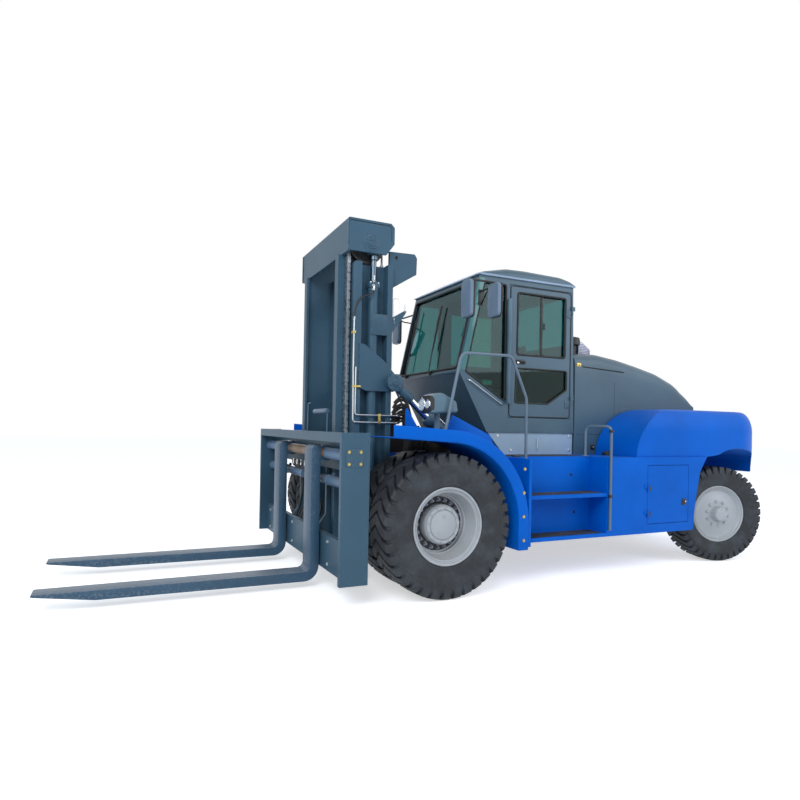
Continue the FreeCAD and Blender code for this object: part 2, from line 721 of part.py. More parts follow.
def front_fender():
    """Left front fender: rolled sheet round the tyres with an upright outer lip and a brace."""
    z = DRIVE_TYRE_RADIUS

    def arc(radius, from_deg, to_deg, steps):
        points = []
        for k in range(steps + 1):
            angle = math.radians(from_deg + (to_deg - from_deg) * k / steps)
            points.append((radius * math.cos(angle), z + radius * math.sin(angle)))
        return points

    def ring(radius):
        tip = (FENDER_TIP_X, z + radius + FENDER_TIP_RISE - SHEET)
        return [tip] + arc(radius, FENDER_CREST_DEG, 180.0, 10) + [(-radius, FENDER_BOTTOM)]

    def band(inner, outer, y0, y1):
        return slab_y(ring(inner) + ring(outer)[::-1], y0, y1)

    skin = band(FENDER_RADIUS, FENDER_RADIUS + SHEET, FENDER_INNER_Y, FENDER_OUTER_Y)
    lip = band(FENDER_RADIUS + SHEET / 2.0, FENDER_RADIUS + FENDER_LIP, FENDER_OUTER_Y - SHEET, FENDER_OUTER_Y)
    outside = FENDER_RADIUS + SHEET
    brace_line = arc(outside - SHEET / 2.0, 98.0, 158.0, 8)
    brace = slab_y(brace_line + [(-840.0, 1340.0), (-730.0, 1570.0), (-260.0, 1775.0)], BRACE_Y, BRACE_Y + SHEET)
    return fuse([skin, lip, brace])


def fender_top_z(x):
    """Height of the fender's upper face ahead of its crest."""
    outside = FENDER_RADIUS + SHEET
    crest = math.radians(FENDER_CREST_DEG)
    crest_x = outside * math.cos(crest)
    crest_z = DRIVE_TYRE_RADIUS + outside * math.sin(crest)
    tip_z = DRIVE_TYRE_RADIUS + outside + FENDER_TIP_RISE - SHEET
    return crest_z + (tip_z - crest_z) * (x - crest_x) / (FENDER_TIP_X - crest_x)


def counterweight():
    """Cast tail weight: rounded in plan, crowned on top, with wheel arches and engine pocket."""

    def plan(inset, z):
        half = TAIL_HALF - inset
        corner = TAIL_CORNER - inset
        centre_x = TAIL_X + TAIL_CORNER
        centre_y = TAIL_HALF - TAIL_CORNER
        curve = []
        for k in range(TAIL_FACETS + 1):
            angle = math.pi / 2.0 * (1.0 + float(k) / TAIL_FACETS)
            curve.append((centre_x + corner * math.cos(angle), centre_y + corner * math.sin(angle)))
        outline = [(TAIL_FRONT_X, half)] + curve + [(x, -y) for x, y in curve[::-1]] + [(TAIL_FRONT_X, -half)]
        return [V(x, y, z) for x, y in outline]

    levels = [
        (0.0, TAIL_LIP_Z),
        (0.0, TAIL_SHOULDER),
        (50.0, TAIL_TOP - 90.0),
        (150.0, TAIL_TOP),
    ]
    body = skinned([plan(inset, z) for inset, z in levels])
    nose = []
    nose_x = TAIL_FRONT_X - TAIL_NOSE
    for k in range(7):
        angle = math.pi / 2.0 * k / 6.0
        nose.append((nose_x + TAIL_NOSE * math.cos(angle), DECK_TOP + (TAIL_TOP - DECK_TOP) * math.sin(angle)))
    ahead = TAIL_FRONT_X + 50.0
    clear = 2.0 * TAIL_HALF
    above = TAIL_TOP + 300.0
    above_nose = slab_y(nose + [(nose_x, above), (ahead, above), (ahead, DECK_TOP)], -clear, clear)
    arch_line = [
        (430.0, DECK_TOP),
        (218.0, 1361.0),
        (63.0, 1415.0),
        (-96.0, 1440.0),
        (-261.0, 1437.0),
        (-450.0, 1405.0),
        (-655.0, 1350.0),
        (-715.0, TAIL_LIP_Z + 70.0),
        (-725.0, TAIL_LIP_Z - 50.0),
    ]
    arch = slab_y(
        [(ahead, TAIL_LIP_Z - 50.0), (ahead, DECK_TOP)] + [(STEER_X + x, z) for x, z in arch_line], -clear, clear
    )
    bay = box(ahead, BAY_REAR_X, -BAY_HALF, BAY_HALF, FRAME_TOP, above)
    body = cut(body, [above_nose, arch, bay])
    saddle = box(BAY_REAR_X, TAIL_X + 150.0, -FRAME_Y, FRAME_Y, FRAME_TOP, TAIL_SKIRT_Z)
    keel_half = FRAME_Y - 10.0
    jaw_bottom = TOW_Z - TOW_GAP / 2.0 - TOW_JAW
    keel = box(FRAME_REAR_X - 10.0, TAIL_X + 20.0, -keel_half, keel_half, jaw_bottom, TAIL_SKIRT_Z)
    body = fuse([body, saddle, keel])
    jaw_x = TAIL_X + 20.0
    pocket = box(jaw_x + TOW_DEPTH, jaw_x - 50.0, -TOW_HALF, TOW_HALF, TOW_Z - TOW_GAP / 2.0, TOW_Z + TOW_GAP / 2.0)
    hole = Part.makeCylinder(
        TOW_PIN_RADIUS, TOW_GAP + 2.0 * TOW_JAW, V(jaw_x + TOW_DEPTH / 2.0, 0, jaw_bottom)
    )
    return cut(body, [pocket, hole])


def hood_line(inset):
    """Top line of the engine cover, drawn lower by the inset."""
    length = HOOD_FRONT_X - HOOD_REAR_X
    return [(HOOD_FRONT_X - share * length, HOOD_SPLIT_Z + rise - inset) for share, rise in HOOD_LINE]


def engine_hood():
    """Hinged upper engine cover: a hollow shell, open below, with chamfered and falling shoulders."""

    def section(x, top, half, low):
        drop = min(HOOD_CHAMFER, 0.6 * (top - low))
        side = [(half, low), (half, top - drop), (half - drop * 0.35, top - drop * 0.3), (half - drop, top)]
        return [V(x, y, z) for y, z in side + [(-y, z) for y, z in side[::-1]]]

    outer = skinned([section(x, z, HOOD_HALF, HOOD_SPLIT_Z) for x, z in hood_line(0.0)])
    inside = hood_line(HOOD_WALL)[:-1]
    inside[0] = (HOOD_FRONT_X - HOOD_WALL, inside[0][1])
    inside[-1] = (inside[-1][0] + HOOD_WALL, inside[-1][1])
    inner = skinned([section(x, z, HOOD_HALF - HOOD_WALL, HOOD_SPLIT_Z - 10.0) for x, z in inside])
    return outer.cut(inner)


def engine_cowl():
    """Fixed lower walls of the engine bay, between the cab and the counterweight's pocket."""
    walls = []
    for side in (-1, 1):
        walls.append(
            box(
                HOOD_FRONT_X,
                HOOD_REAR_X,
                side * (HOOD_HALF - HOOD_WALL),
                side * HOOD_HALF,
                DECK_TOP,
                HOOD_SPLIT_Z,
            )
        )
    front = box(
        HOOD_FRONT_X, HOOD_FRONT_X - HOOD_WALL, -HOOD_HALF, HOOD_HALF, DECK_TOP, HOOD_SPLIT_Z
    )
    return fuse(walls + [front])


def engine_block():
    """Diesel engine and gearbox as one plain mass between the frame plates."""
    return box(ENGINE_FRONT_X, ENGINE_REAR_X, -FRAME_Y, FRAME_Y, 780.0, 1850.0)


# ---- cab ----------------------------------------------------------------------------------
def cab_outline(inset):
    """Side view of the cab's walls, drawn smaller by the inset."""
    return [
        (CAB_SILL_X - inset * 1.1, CAB_SILL_Z + inset * 0.1),
        (CAB_EAVES_X - inset * 1.1, CAB_EAVES),
        (CAB_REAR_X + inset + 40.0, CAB_EAVES),
        (CAB_REAR_X + inset, CAB_FLOOR + inset),
        (CAB_NOSE_X - inset * 0.6, CAB_FLOOR + inset),
    ]


def quarter_window(inset):
    """Side pane between windscreen and door pillar."""
    return [
        (CAB_SILL_X - 85.0 - inset, CAB_SILL_Z + 5.0 + inset),
        (CAB_EAVES_X - 75.0 - inset, CAB_EAVES - 80.0 - inset),
        (DOOR_FRONT_X + 60.0 + inset, CAB_EAVES - 80.0 - inset),
        (DOOR_FRONT_X + 60.0 + inset, DOOR_BOTTOM + 180.0 + inset),
    ]


def door_windows(inset):
    """The door's upper pane and its lower pane with the cut corner."""
    upper = [
        (DOOR_FRONT_X - 110.0 - inset, DOOR_WAIST + 80.0 + inset),
        (DOOR_FRONT_X - 110.0 - inset, DOOR_TOP - 80.0 - inset),
        (DOOR_REAR_X + 90.0 + inset, DOOR_TOP - 80.0 - inset),
        (DOOR_REAR_X + 90.0 + inset, DOOR_WAIST + 80.0 + inset),
    ]
    lower = [
        (DOOR_FRONT_X - 90.0 - inset, DOOR_BOTTOM + 170.0 + inset),
        (DOOR_FRONT_X - 100.0 - inset, DOOR_WAIST - 80.0 - inset),
        (DOOR_REAR_X + 60.0 + inset, DOOR_WAIST - 80.0 - inset),
        (DOOR_REAR_X + 60.0 + inset, DOOR_BOTTOM + 350.0 + inset),
        (DOOR_REAR_X + 350.0 + inset, DOOR_BOTTOM + 170.0 + inset),
    ]
    return [upper, lower]


def windscreen_slab(inset, depth_out, depth_in):
    """Block through the sloping windscreen, between two depths from the outer face."""
    lean = (CAB_EAVES_X - CAB_SILL_X) / (CAB_EAVES - CAB_SILL_Z)
    low = CAB_SILL_Z + 45.0 + inset
    high = CAB_EAVES - 70.0 - inset
    x_low = CAB_SILL_X + lean * (low - CAB_SILL_Z)
    x_high = CAB_SILL_X + lean * (high - CAB_SILL_Z)
    half = CAB_HALF - 60.0 - inset
    outline = [
        (x_low + depth_out, low),
        (x_high + depth_out, high),
        (x_high - depth_in, high),
        (x_low - depth_in, low),
    ]
    return slab_y(outline, -half, half)


def rear_window(inset, x0, x1):
    """Block through the rear wall's window."""
    half = CAB_HALF - 130.0 - inset
    return box(x0, x1, -half, half, DOOR_WAIST + 260.0 + inset, CAB_EAVES - 90.0 - inset)


def door_opening():
    """Block through the left wall that takes the door."""
    return box(
        DOOR_FRONT_X + PANEL_GAP,
        DOOR_REAR_X - PANEL_GAP,
        CAB_HALF - 2.0 * CAB_WALL,
        CAB_HALF + CAB_WALL,
        DOOR_BOTTOM - PANEL_GAP,
        DOOR_TOP + PANEL_GAP,
    )


def hinge_half(x, y, z0, z1, radius, leaf_x, leaf_y):
    """One half of an upright hinge: its knuckle and the leaf that fastens it."""
    profile = [(0.0, 0.0), (radius, 0.0), (radius, z1 - z0), (0.0, z1 - z0)]
    knuckle_bar = spun(profile, V(x, y, z0), V(0, 0, 1), HINGE_SIDES)
    leaf = box(x, leaf_x, y - radius, leaf_y, z0, z1)
    return fuse([knuckle_bar, leaf])


def door_hinges(lower):
    """Lower or upper halves of the cab door's two hinges."""
    y = CAB_HALF + DOOR_HINGE_RADIUS
    halves = []
    for z in DOOR_HINGE_Z:
        z0 = z if lower else z + DOOR_HINGE_HEIGHT + RUNNING_GAP
        leaf_x = DOOR_HINGE_X + 60.0 if lower else DOOR_HINGE_X - 50.0
        halves.append(
            hinge_half(DOOR_HINGE_X, y, z0, z0 + DOOR_HINGE_HEIGHT, DOOR_HINGE_RADIUS, leaf_x, CAB_HALF + 10.0)
        )
    return halves


def cab_shell():
    """Welded cab walls and floor, hollow, with door opening and windows."""
    outer = slab_y(cab_outline(0.0), -CAB_HALF, CAB_HALF)
    inner = slab_y(cab_outline(CAB_WALL), -CAB_HALF + CAB_WALL, CAB_HALF - CAB_WALL)
    tools = [
        inner,
        door_opening(),
        windscreen_slab(0.0, 200.0, 200.0),
        rear_window(0.0, CAB_REAR_X - 100.0, CAB_REAR_X + 150.0),
        slab_y(quarter_window(0.0), CAB_HALF - 100.0, CAB_HALF + 100.0),
        slab_y(quarter_window(0.0), -CAB_HALF - 100.0, -CAB_HALF + 100.0),
    ]
    for window in door_windows(0.0):
        tools.append(slab_y(window, -CAB_HALF - 100.0, -CAB_HALF + 100.0))
    return fuse([cut(outer, tools)] + door_hinges(False))


def cab_glass():
    """Fixed panes of the cab, each seated in its opening."""
    mid = CAB_WALL / 2.0
    panes = [
        windscreen_slab(0.3, -18.0, 18.0 + GLASS),
        rear_window(0.3, CAB_REAR_X + mid, CAB_REAR_X + mid + GLASS),
    ]
    quarter = quarter_window(0.3)
    panes.append(slab_y(quarter, CAB_HALF - mid, CAB_HALF - mid + GLASS))
    for window in [quarter] + door_windows(0.3):
        panes.append(slab_y(window, -CAB_HALF + mid, -CAB_HALF + mid - GLASS))
    return group(panes)


def cab_door():
    """Left cab door with its two window openings."""
    leaf = box(DOOR_FRONT_X, DOOR_REAR_X, CAB_HALF - CAB_WALL, CAB_HALF, DOOR_BOTTOM, DOOR_TOP)
    tools = [slab_y(window, CAB_HALF - 100.0, CAB_HALF + 100.0) for window in door_windows(0.0)]
    return fuse([cut(leaf, tools)] + door_hinges(True))


def door_glass():
    """Both panes of the cab door."""
    mid = CAB_WALL / 2.0
    return group([slab_y(window, CAB_HALF - mid, CAB_HALF - mid + GLASS) for window in door_windows(0.3)])


def cab_roof():
    """Roof pan with a sloping front, a flat crown and an open hollow above the headlining."""
    outline = [
        (CAB_EAVES_X + 20.0, CAB_EAVES),
        (CAB_EAVES_X - 40.0, CAB_EAVES + 60.0),
        (-1250.0, ROOF_TOP - 10.0),
        (-1500.0, ROOF_TOP),
        (-2050.0, ROOF_TOP - 15.0),
        (CAB_REAR_X + 30.0, CAB_EAVES + 90.0),
        (CAB_REAR_X + 30.0, CAB_EAVES),
    ]
    hollow = [
        (CAB_EAVES_X - 90.0, CAB_EAVES - 10.0),
        (CAB_EAVES_X - 110.0, CAB_EAVES + 40.0),
        (-1270.0, ROOF_TOP - 10.0 - ROOF_SHEET),
        (-2050.0, ROOF_TOP - 15.0 - ROOF_SHEET),
        (CAB_REAR_X + 90.0, CAB_EAVES + 90.0 - ROOF_SHEET),
        (CAB_REAR_X + 90.0, CAB_EAVES - 10.0),
    ]
    half = CAB_HALF + 12.0
    inside = CAB_HALF - CAB_WALL
    return slab_y(outline, -half, half).cut(slab_y(hollow, -inside, inside))


def cab_plinth():
    """Light panels that carry the cab floor on the deck."""
    outline = [
        (-1240.0, DECK_TOP),
        (-1010.0, CAB_FLOOR),
        (CAB_REAR_X, CAB_FLOOR),
        (CAB_REAR_X, DECK_TOP),
    ]
    panels = [slab_y(outline, side * (CAB_HALF - 20.0 - PLATE), side * (CAB_HALF - 20.0)) for side in (-1, 1)]
    return group(panels)


def seat():
    """Driver's seat: pedestal, cushion and backrest."""
    floor = CAB_FLOOR + CAB_WALL
    pedestal = box(-1900.0, -1560.0, -190.0, 190.0, floor, floor + 330.0)
    cushion = box(-1960.0, -1470.0, -250.0, 250.0, floor + 330.0, floor + 460.0)
    back = slab_y(
        [
            (-1860.0, floor + 460.0),
            (-1940.0, floor + 1080.0),
            (-2060.0, floor + 1080.0),
            (-1980.0, floor + 460.0),
        ],
        -240.0,
        240.0,
    )
    return fuse([pedestal, cushion, back])


def console():
    """Steering column with its wheel and the instrument binnacle."""
    floor = CAB_FLOOR + CAB_WALL
    column = slab_y(
        [
            (-1200.0, floor),
            (-1060.0, floor),
            (-1100.0, floor + 560.0),
            (-1220.0, floor + 530.0),
        ],
        -90.0,
        90.0,
    )
    hub = V(-1165.0, 0, floor + 560.0)
    tilt = V(-0.45, 0, 0.9)
    rim = []
    for k in range(4):
        angle = math.pi * k / 2.0
        rim.append((200.0 + 15.0 * math.cos(angle), 15.0 * math.sin(angle)))
    wheel = spun(rim, hub + tilt * 90.0, tilt, 16)
    spoke = box(-1365.0, -965.0, -14.0, 14.0, -8.0, 8.0)
    spoke.translate(V(1165.0, 0, 0))
    spoke.rotate(V(0, 0, 0), V(0, 1, 0), -26.5)
    spoke.translate(hub + tilt * 90.0)
    post = rod(hub - tilt * 60.0, hub + tilt * 95.0, 28.0)
    return fuse([column, post, spoke, wheel])


# ---- fittings -----------------------------------------------------------------------------
def headlight():
    """Left headlight pod on its post above the fender."""
    pod = slab_y(
        [
            (150.0, 1770.0),
            (130.0, 1960.0),
            (20.0, 1985.0),
            (-150.0, 1900.0),
            (-170.0, 1790.0),
        ],
        LAMP_Y - 95.0,
        LAMP_Y + 95.0,
    )
    stand = rod(V(0, LAMP_Y, fender_top_z(0.0) + 2.0), V(0, LAMP_Y, 1790.0), 28.0)
    lamps = []
    for y in (LAMP_Y - LAMP_RADIUS - 3.0, LAMP_Y + LAMP_RADIUS + 3.0):
        lamps.append(rod(V(60.0, y, LAMP_Z), V(165.0, y, LAMP_Z), LAMP_RADIUS))
    return fuse([pod, stand] + lamps)


def handrails():
    """Entry rail loop and rear grab rail, on both sides."""
    front = tube_path(
        [
            V(20.0, 1500.0, fender_top_z(20.0) + RAIL_FOOT_GAP),
            V(-170.0, 1500.0, 2380.0),
            V(-790.0, 1470.0, 2390.0),
            V(-1010.0, 1440.0, 1960.0),
            V(-1035.0, 1420.0, UPPER_STEP_Z + 0.5),
        ],
        RAIL_RADIUS,
        80.0,
    )
    outside = BODY_Y + RAIL_RADIUS + RUNNING_GAP
    deck_leg = STEP_RISER_Y + PLATE / 2.0
    rear = tube_path(
        [
            V(STEP_REAR_X - 30.0, outside, 520.0),
            V(STEP_REAR_X - 30.0, outside, 1690.0),
            V(STEP_REAR_X + 60.0, deck_leg, 1690.0),
            V(STEP_REAR_X + 60.0, deck_leg, DECK_TOP),
        ],
        RAIL_RADIUS,
        60.0,
    )
    return group([front, rear, mirrored(front), mirrored(rear)])


def mirror_left():
    """Two rear view mirrors with cut corners on a bracket from the cab's front pillar."""
    arm_z = CAB_EAVES - 200.0
    arm = tube_path(
        [V(CAB_EAVES_X - 5.0, CAB_HALF, arm_z), V(CAB_EAVES_X - 5.0, 1180.0, arm_z), V(-420.0, 1180.0, arm_z)],
        14.0,
        60.0,
    )

    def head(x0, x1, y0, y1, height):
        corner = 30.0
        low = arm_z - height
        outline = [
            (y0 + corner, low),
            (y1 - corner, low),
            (y1, low + corner),
            (y1, arm_z - corner),
            (y1 - corner, arm_z),
            (y0 + corner, arm_z),
            (y0, arm_z - corner),
            (y0, low + corner),
        ]
        wire = Part.makePolygon([V(x0, y, z) for y, z in outline + outline[:1]])
        return Part.Face(wire).extrude(V(x1 - x0, 0, 0))

    return fuse([arm, head(-470.0, -410.0, 1080.0, 1270.0, 400.0), head(-800.0, -740.0, 1090.0, 1290.0, 370.0)])


def hood_top_z(x):
    """Height of the engine cover's top line at one place along the truck."""
    line = hood_line(0.0)
    for (x0, z0), (x1, z1) in zip(line, line[1:]):
        if x1 <= x <= x0:
            return z0 + (z1 - z0) * (x - x0) / (x1 - x0)
    return line[0][1]


def air_cleaner():
    """Air intake pre-cleaner standing on the engine cover."""
    x = -2440.0
    foot_z = hood_top_z(x - 55.0) + RUNNING_GAP
    stem = post(x, 520.0, foot_z, foot_z + 130.0, 55.0)
    cap = post(x, 520.0, foot_z + 120.0, foot_z + 230.0, 110.0)
    return fuse([stem, cap])


def exhaust():
    """Exhaust outlet in a sloping guard on the engine cover."""
    front = -2600.0
    ridge = hood_line(0.0)[1][0]
    rear = -2800.0
    outline = [
        (front, hood_top_z(front) + RUNNING_GAP),
        (front, 2800.0),
        (front - 60.0, 2800.0),
        (rear, 2700.0),
        (rear, hood_top_z(rear) + RUNNING_GAP),
        (ridge, hood_top_z(ridge) + RUNNING_GAP),
    ]
    return slab_y(outline, 300.0, 480.0)


# ---- mast ---------------------------------------------------------------------------------
def outer_mast():
    """Fixed mast: two I-section uprights, cross plates, axle feet, tilt plates and top horns."""
    pieces = []
    tilt_plate = [
        (MAST_FRONT_X - 50.0, TILT_MAST_Z + 400.0),
        (MAST_FRONT_X - 110.0, TILT_MAST_Z + 390.0),
        (MAST_REAR_X + 90.0, TILT_MAST_Z + 230.0),
        (TILT_MAST_X - 70.0, TILT_MAST_Z + 60.0),
        (TILT_MAST_X - 85.0, TILT_MAST_Z - 20.0),
        (TILT_MAST_X - 20.0, TILT_MAST_Z - 90.0),
        (MAST_FRONT_X - 130.0, TILT_MAST_Z - 90.0),
        (MAST_FRONT_X - 50.0, TILT_MAST_Z - 60.0),
    ]
    horn = [
        (MAST_REAR_X + 20.0, MAST_TOP + 160.0),
        (-30.0, MAST_TOP + 170.0),
        (-60.0, MAST_TOP + 130.0),
        (-55.0, MAST_TOP - 50.0),
        (45.0, MAST_TOP - 110.0),
        (MAST_REAR_X + 20.0, MAST_TOP - 250.0),
    ]
    foot = [
        (MAST_REAR_X + 30.0, 300.0),
        (MAST_REAR_X + 30.0, 1300.0),
        (MAST_REAR_X, 1300.0),
        (-60.0, 960.0),
        (-230.0, 840.0),
        (-230.0, 560.0),
        (-60.0, 440.0),
        (MAST_REAR_X - 60.0, 300.0),
    ]
    for side in (-1, 1):
        web = box(
            MAST_REAR_X, MAST_FRONT_X, side * MAST_WEB_Y, side * (MAST_WEB_Y + MAST_WEB), MAST_BOTTOM, MAST_TOP
        )
        rear = box(
            MAST_REAR_X,
            MAST_REAR_X + MAST_REAR_FLANGE,
            side * MAST_FLANGE_IN_Y,
            side * MAST_OUT_Y,
            MAST_BOTTOM,
            MAST_TOP,
        )
        front = box(
            MAST_FRONT_X - MAST_FRONT_FLANGE,
            MAST_FRONT_X,
            side * MAST_FLANGE_IN_Y,
            side * MAST_OUT_Y,
            MAST_BOTTOM,
            MAST_TOP,
        )
        shelf = box(MAST_REAR_X, MAST_FRONT_X, side * MAST_WEB_Y, side * MAST_OUT_Y, MAST_BOTTOM, 350.0)
        plate = slab_y(tilt_plate, side * MAST_OUT_Y, side * (MAST_OUT_Y + SHEET))
        pin_root = MAST_OUT_Y + SHEET / 2.0
        pin = bar_y(TILT_MAST_X, TILT_MAST_Z, side * pin_root, side * (TILT_Y + 55.0), TILT_PIN_RADIUS)
        ear = slab_y(foot, side * MAST_FLANGE_IN_Y, side * (MAST_WEB_Y + 120.0))
        pieces += [web, rear, front, shelf, plate, pin, ear, slab_y(horn, side * 700.0, side * 735.0)]
    for z0, z1 in ((MAST_BOTTOM, 480.0), (1500.0, 1700.0), (MAST_TOP - 270.0, MAST_TOP - 50.0)):
        pieces.append(
            box(MAST_REAR_X, MAST_REAR_X + MAST_REAR_FLANGE, -MAST_FLANGE_IN_Y, MAST_FLANGE_IN_Y, z0, z1)
        )
    whole = fuse(pieces)
    return whole.cut(bore_y(0, DRIVE_TYRE_RADIUS, -900.0, 900.0, AXLE_HOUSING_RADIUS + BEARING_FIT))


def lift_barrel(side):
    """Barrel of a lift cylinder standing in the pocket of its upright."""
    barrel = post(LIFT_X, side * LIFT_Y, 350.0, LIFT_HEAD_Z, LIFT_BARREL_RADIUS)
    return barrel.cut(post(LIFT_X, side * LIFT_Y, 450.0, LIFT_HEAD_Z + 10.0, LIFT_ROD_RADIUS + ROD_FIT))


def lift_rod(side):
    """Chromed rod of a lift cylinder, up to the top beam."""
    return post(LIFT_X, side * LIFT_Y, 460.0, BEAM_BOTTOM, LIFT_ROD_RADIUS)


def inner_mast():
    """Moving mast: two channels open to the middle, cross plates, rollers and the top beam."""
    pieces = []
    end_plate = [
        (BEAM_FRONT_X, BEAM_BOTTOM),
        (BEAM_FRONT_X, BEAM_TOP),
        (BEAM_REAR_X + 40.0, BEAM_TOP),
        (BEAM_REAR_X, BEAM_TOP - 40.0),
        (BEAM_REAR_X, BEAM_BOTTOM + 120.0),
        (BEAM_REAR_X + 90.0, BEAM_BOTTOM),
    ]
    roller_radius = (MAST_FRONT_X - MAST_FRONT_FLANGE - MAST_REAR_X - MAST_REAR_FLANGE) / 2.0 - 3.0
    roller_x = MAST_REAR_X + MAST_REAR_FLANGE + roller_radius + RUNNING_GAP
    for side in (-1, 1):
        web = box(
            INNER_REAR_X, INNER_FRONT_X, side * (INNER_OUT_Y - INNER_WEB), side * INNER_OUT_Y, INNER_BOTTOM, BEAM_TOP
        )
        web = web.cut(box(BEAM_FRONT_X, INNER_FRONT_X + 10.0, -900.0, 900.0, BEAM_BOTTOM, BEAM_TOP + 10.0))
        pieces.append(web)
        for x0 in (INNER_REAR_X, INNER_FRONT_X - INNER_FLANGE):
            pieces.append(
                box(x0, x0 + INNER_FLANGE, side * INNER_IN_Y, side * INNER_OUT_Y, INNER_BOTTOM, BEAM_BOTTOM)
            )
        pieces.append(
            bar_y(roller_x, 520.0, side * INNER_OUT_Y, side * (MAST_WEB_Y - 5.0), roller_radius)
        )
        pieces.append(slab_y(end_plate, side * (BEAM_HALF - PLATE), side * BEAM_HALF))
        pieces.append(bar_y(SHEAVE_X, SHEAVE_Z, side * INNER_OUT_Y, side * (BEAM_HALF + 14.0), SHEAVE_PIN_RADIUS))
        lug = box(LIFT_X - 60.0, LIFT_X + 60.0, side * (LIFT_Y - 40.0), side * (BEAM_HALF - PLATE), BEAM_BOTTOM, SHEAVE_Z - 65.0)
        pieces.append(lug)
    pieces.append(box(BEAM_FRONT_X - PLATE, BEAM_FRONT_X, -BEAM_HALF, BEAM_HALF, BEAM_BOTTOM, BEAM_TOP))
    pieces.append(box(BEAM_REAR_X + 40.0, BEAM_FRONT_X, -BEAM_HALF, BEAM_HALF, BEAM_TOP - PLATE, BEAM_TOP))
    for z0, z1 in ((INNER_BOTTOM + 40.0, 560.0), (1900.0, 2100.0)):
        pieces.append(
            box(INNER_REAR_X, INNER_REAR_X + INNER_FLANGE, -INNER_IN_Y, INNER_IN_Y, z0, z1)
        )
    return fuse(pieces)


def sheave(side):
    """Chain wheel with the chain lying over its top."""
    half = CHAIN_WIDTH / 2.0
    middle = side * CHAIN_Y
    bore_radius = (SHEAVE_PIN_RADIUS + BEARING_FIT) / math.cos(math.pi / SHEAVE_SIDES)
    profile = [
        (SHEAVE_RADIUS, middle - half),
        (SHEAVE_RADIUS, middle + half),
        (bore_radius, middle + half),
        (bore_radius, middle - half),
    ]
    return turned(profile, SHEAVE_X, SHEAVE_Z, SHEAVE_SIDES, 0.5)


def chain(side):
    """Front run of a lift chain, drawn in between its links, from its sheave down to the carriage."""
    x0 = SHEAVE_X + SHEAVE_RADIUS + RUNNING_GAP
    half = CHAIN_WIDTH / 2.0
    pitch = (SHEAVE_Z - CHAIN_ANCHOR_Z) / CHAIN_LINKS
    edge = []
    for k in range(CHAIN_LINKS):
        low = CHAIN_ANCHOR_Z + k * pitch
        edge += [
            (half, low),
            (half, low + 0.55 * pitch),
            (half - CHAIN_WAIST, low + 0.62 * pitch),
            (half - CHAIN_WAIST, low + 0.93 * pitch),
        ]
    edge.append((half - CHAIN_WAIST, SHEAVE_Z))
    outline = [(y, z) for y, z in edge] + [(-y, z) for y, z in edge[::-1]]
    corners = [V(x0, side * CHAIN_Y + y, z) for y, z in outline]
    return Part.Face(Part.makePolygon(corners + corners[:1])).extrude(V(CHAIN_THICKNESS, 0, 0))


# ---- carriage and forks -------------------------------------------------------------------
def carriage():
    """Fork carriage: end plates, top beam, cross plates and the roller plates in the mast."""
    inside = CARRIAGE_HALF - CARRIAGE_END_PLATE
    pieces = [
        box(CARRIAGE_FRONT_X - 100.0, CARRIAGE_FRONT_X, -inside, inside, CARRIAGE_TOP - 90.0, CARRIAGE_TOP),
        box(925.0, 985.0, -inside, inside, CARRIAGE_BOTTOM, 560.0),
        box(CARRIAGE_REAR_X, 860.0, -inside, inside, 1200.0, 1560.0),
    ]
    roller_radius = (INNER_FRONT_X - INNER_REAR_X) / 2.0 - INNER_FLANGE - 3.0
    roller_x = INNER_FRONT_X - INNER_FLANGE - roller_radius - RUNNING_GAP
    plate = [
        (470.0, 330.0),
        (470.0, 1530.0),
        (845.0, 1530.0),
        (845.0, 700.0),
        (960.0, 540.0),
        (960.0, 330.0),
    ]
    for side in (-1, 1):
        pieces.append(
            box(CARRIAGE_REAR_X, CARRIAGE_FRONT_X, side * inside, side * CARRIAGE_HALF, CARRIAGE_BOTTOM, CARRIAGE_TOP)
        )
        pieces.append(slab_y(plate, side * 440.0, side * 485.0))
        for z in (500.0, 1330.0):
            pieces.append(bar_y(roller_x, z, side * 480.0, side * (INNER_OUT_Y - INNER_WEB - 6.0), roller_radius))
        x0 = SHEAVE_X + SHEAVE_RADIUS - 20.0
        half = CHAIN_WIDTH / 2.0 + 4.0
        pieces.append(
            box(x0, CARRIAGE_REAR_X + 5.0, side * (CHAIN_Y - half), side * (CHAIN_Y + half), CHAIN_ANCHOR_Z - 60.0, CHAIN_ANCHOR_Z)
        )
    return fuse(pieces)


def fork_shaft():
    """Bar across the carriage that the forks hang on."""
    inside = CARRIAGE_HALF - CARRIAGE_END_PLATE
    return bar_y(FORK_SHAFT_X, FORK_SHAFT_Z, -inside, inside, FORK_SHAFT_RADIUS)


def positioners():
    """Two cylinders below the shaft that push the forks sideways."""
    inside = CARRIAGE_HALF - CARRIAGE_END_PLATE
    return both(bar_y(FORK_SHAFT_X - 30.0, POSITIONER_Z, 60.0, inside, POSITIONER_RADIUS))


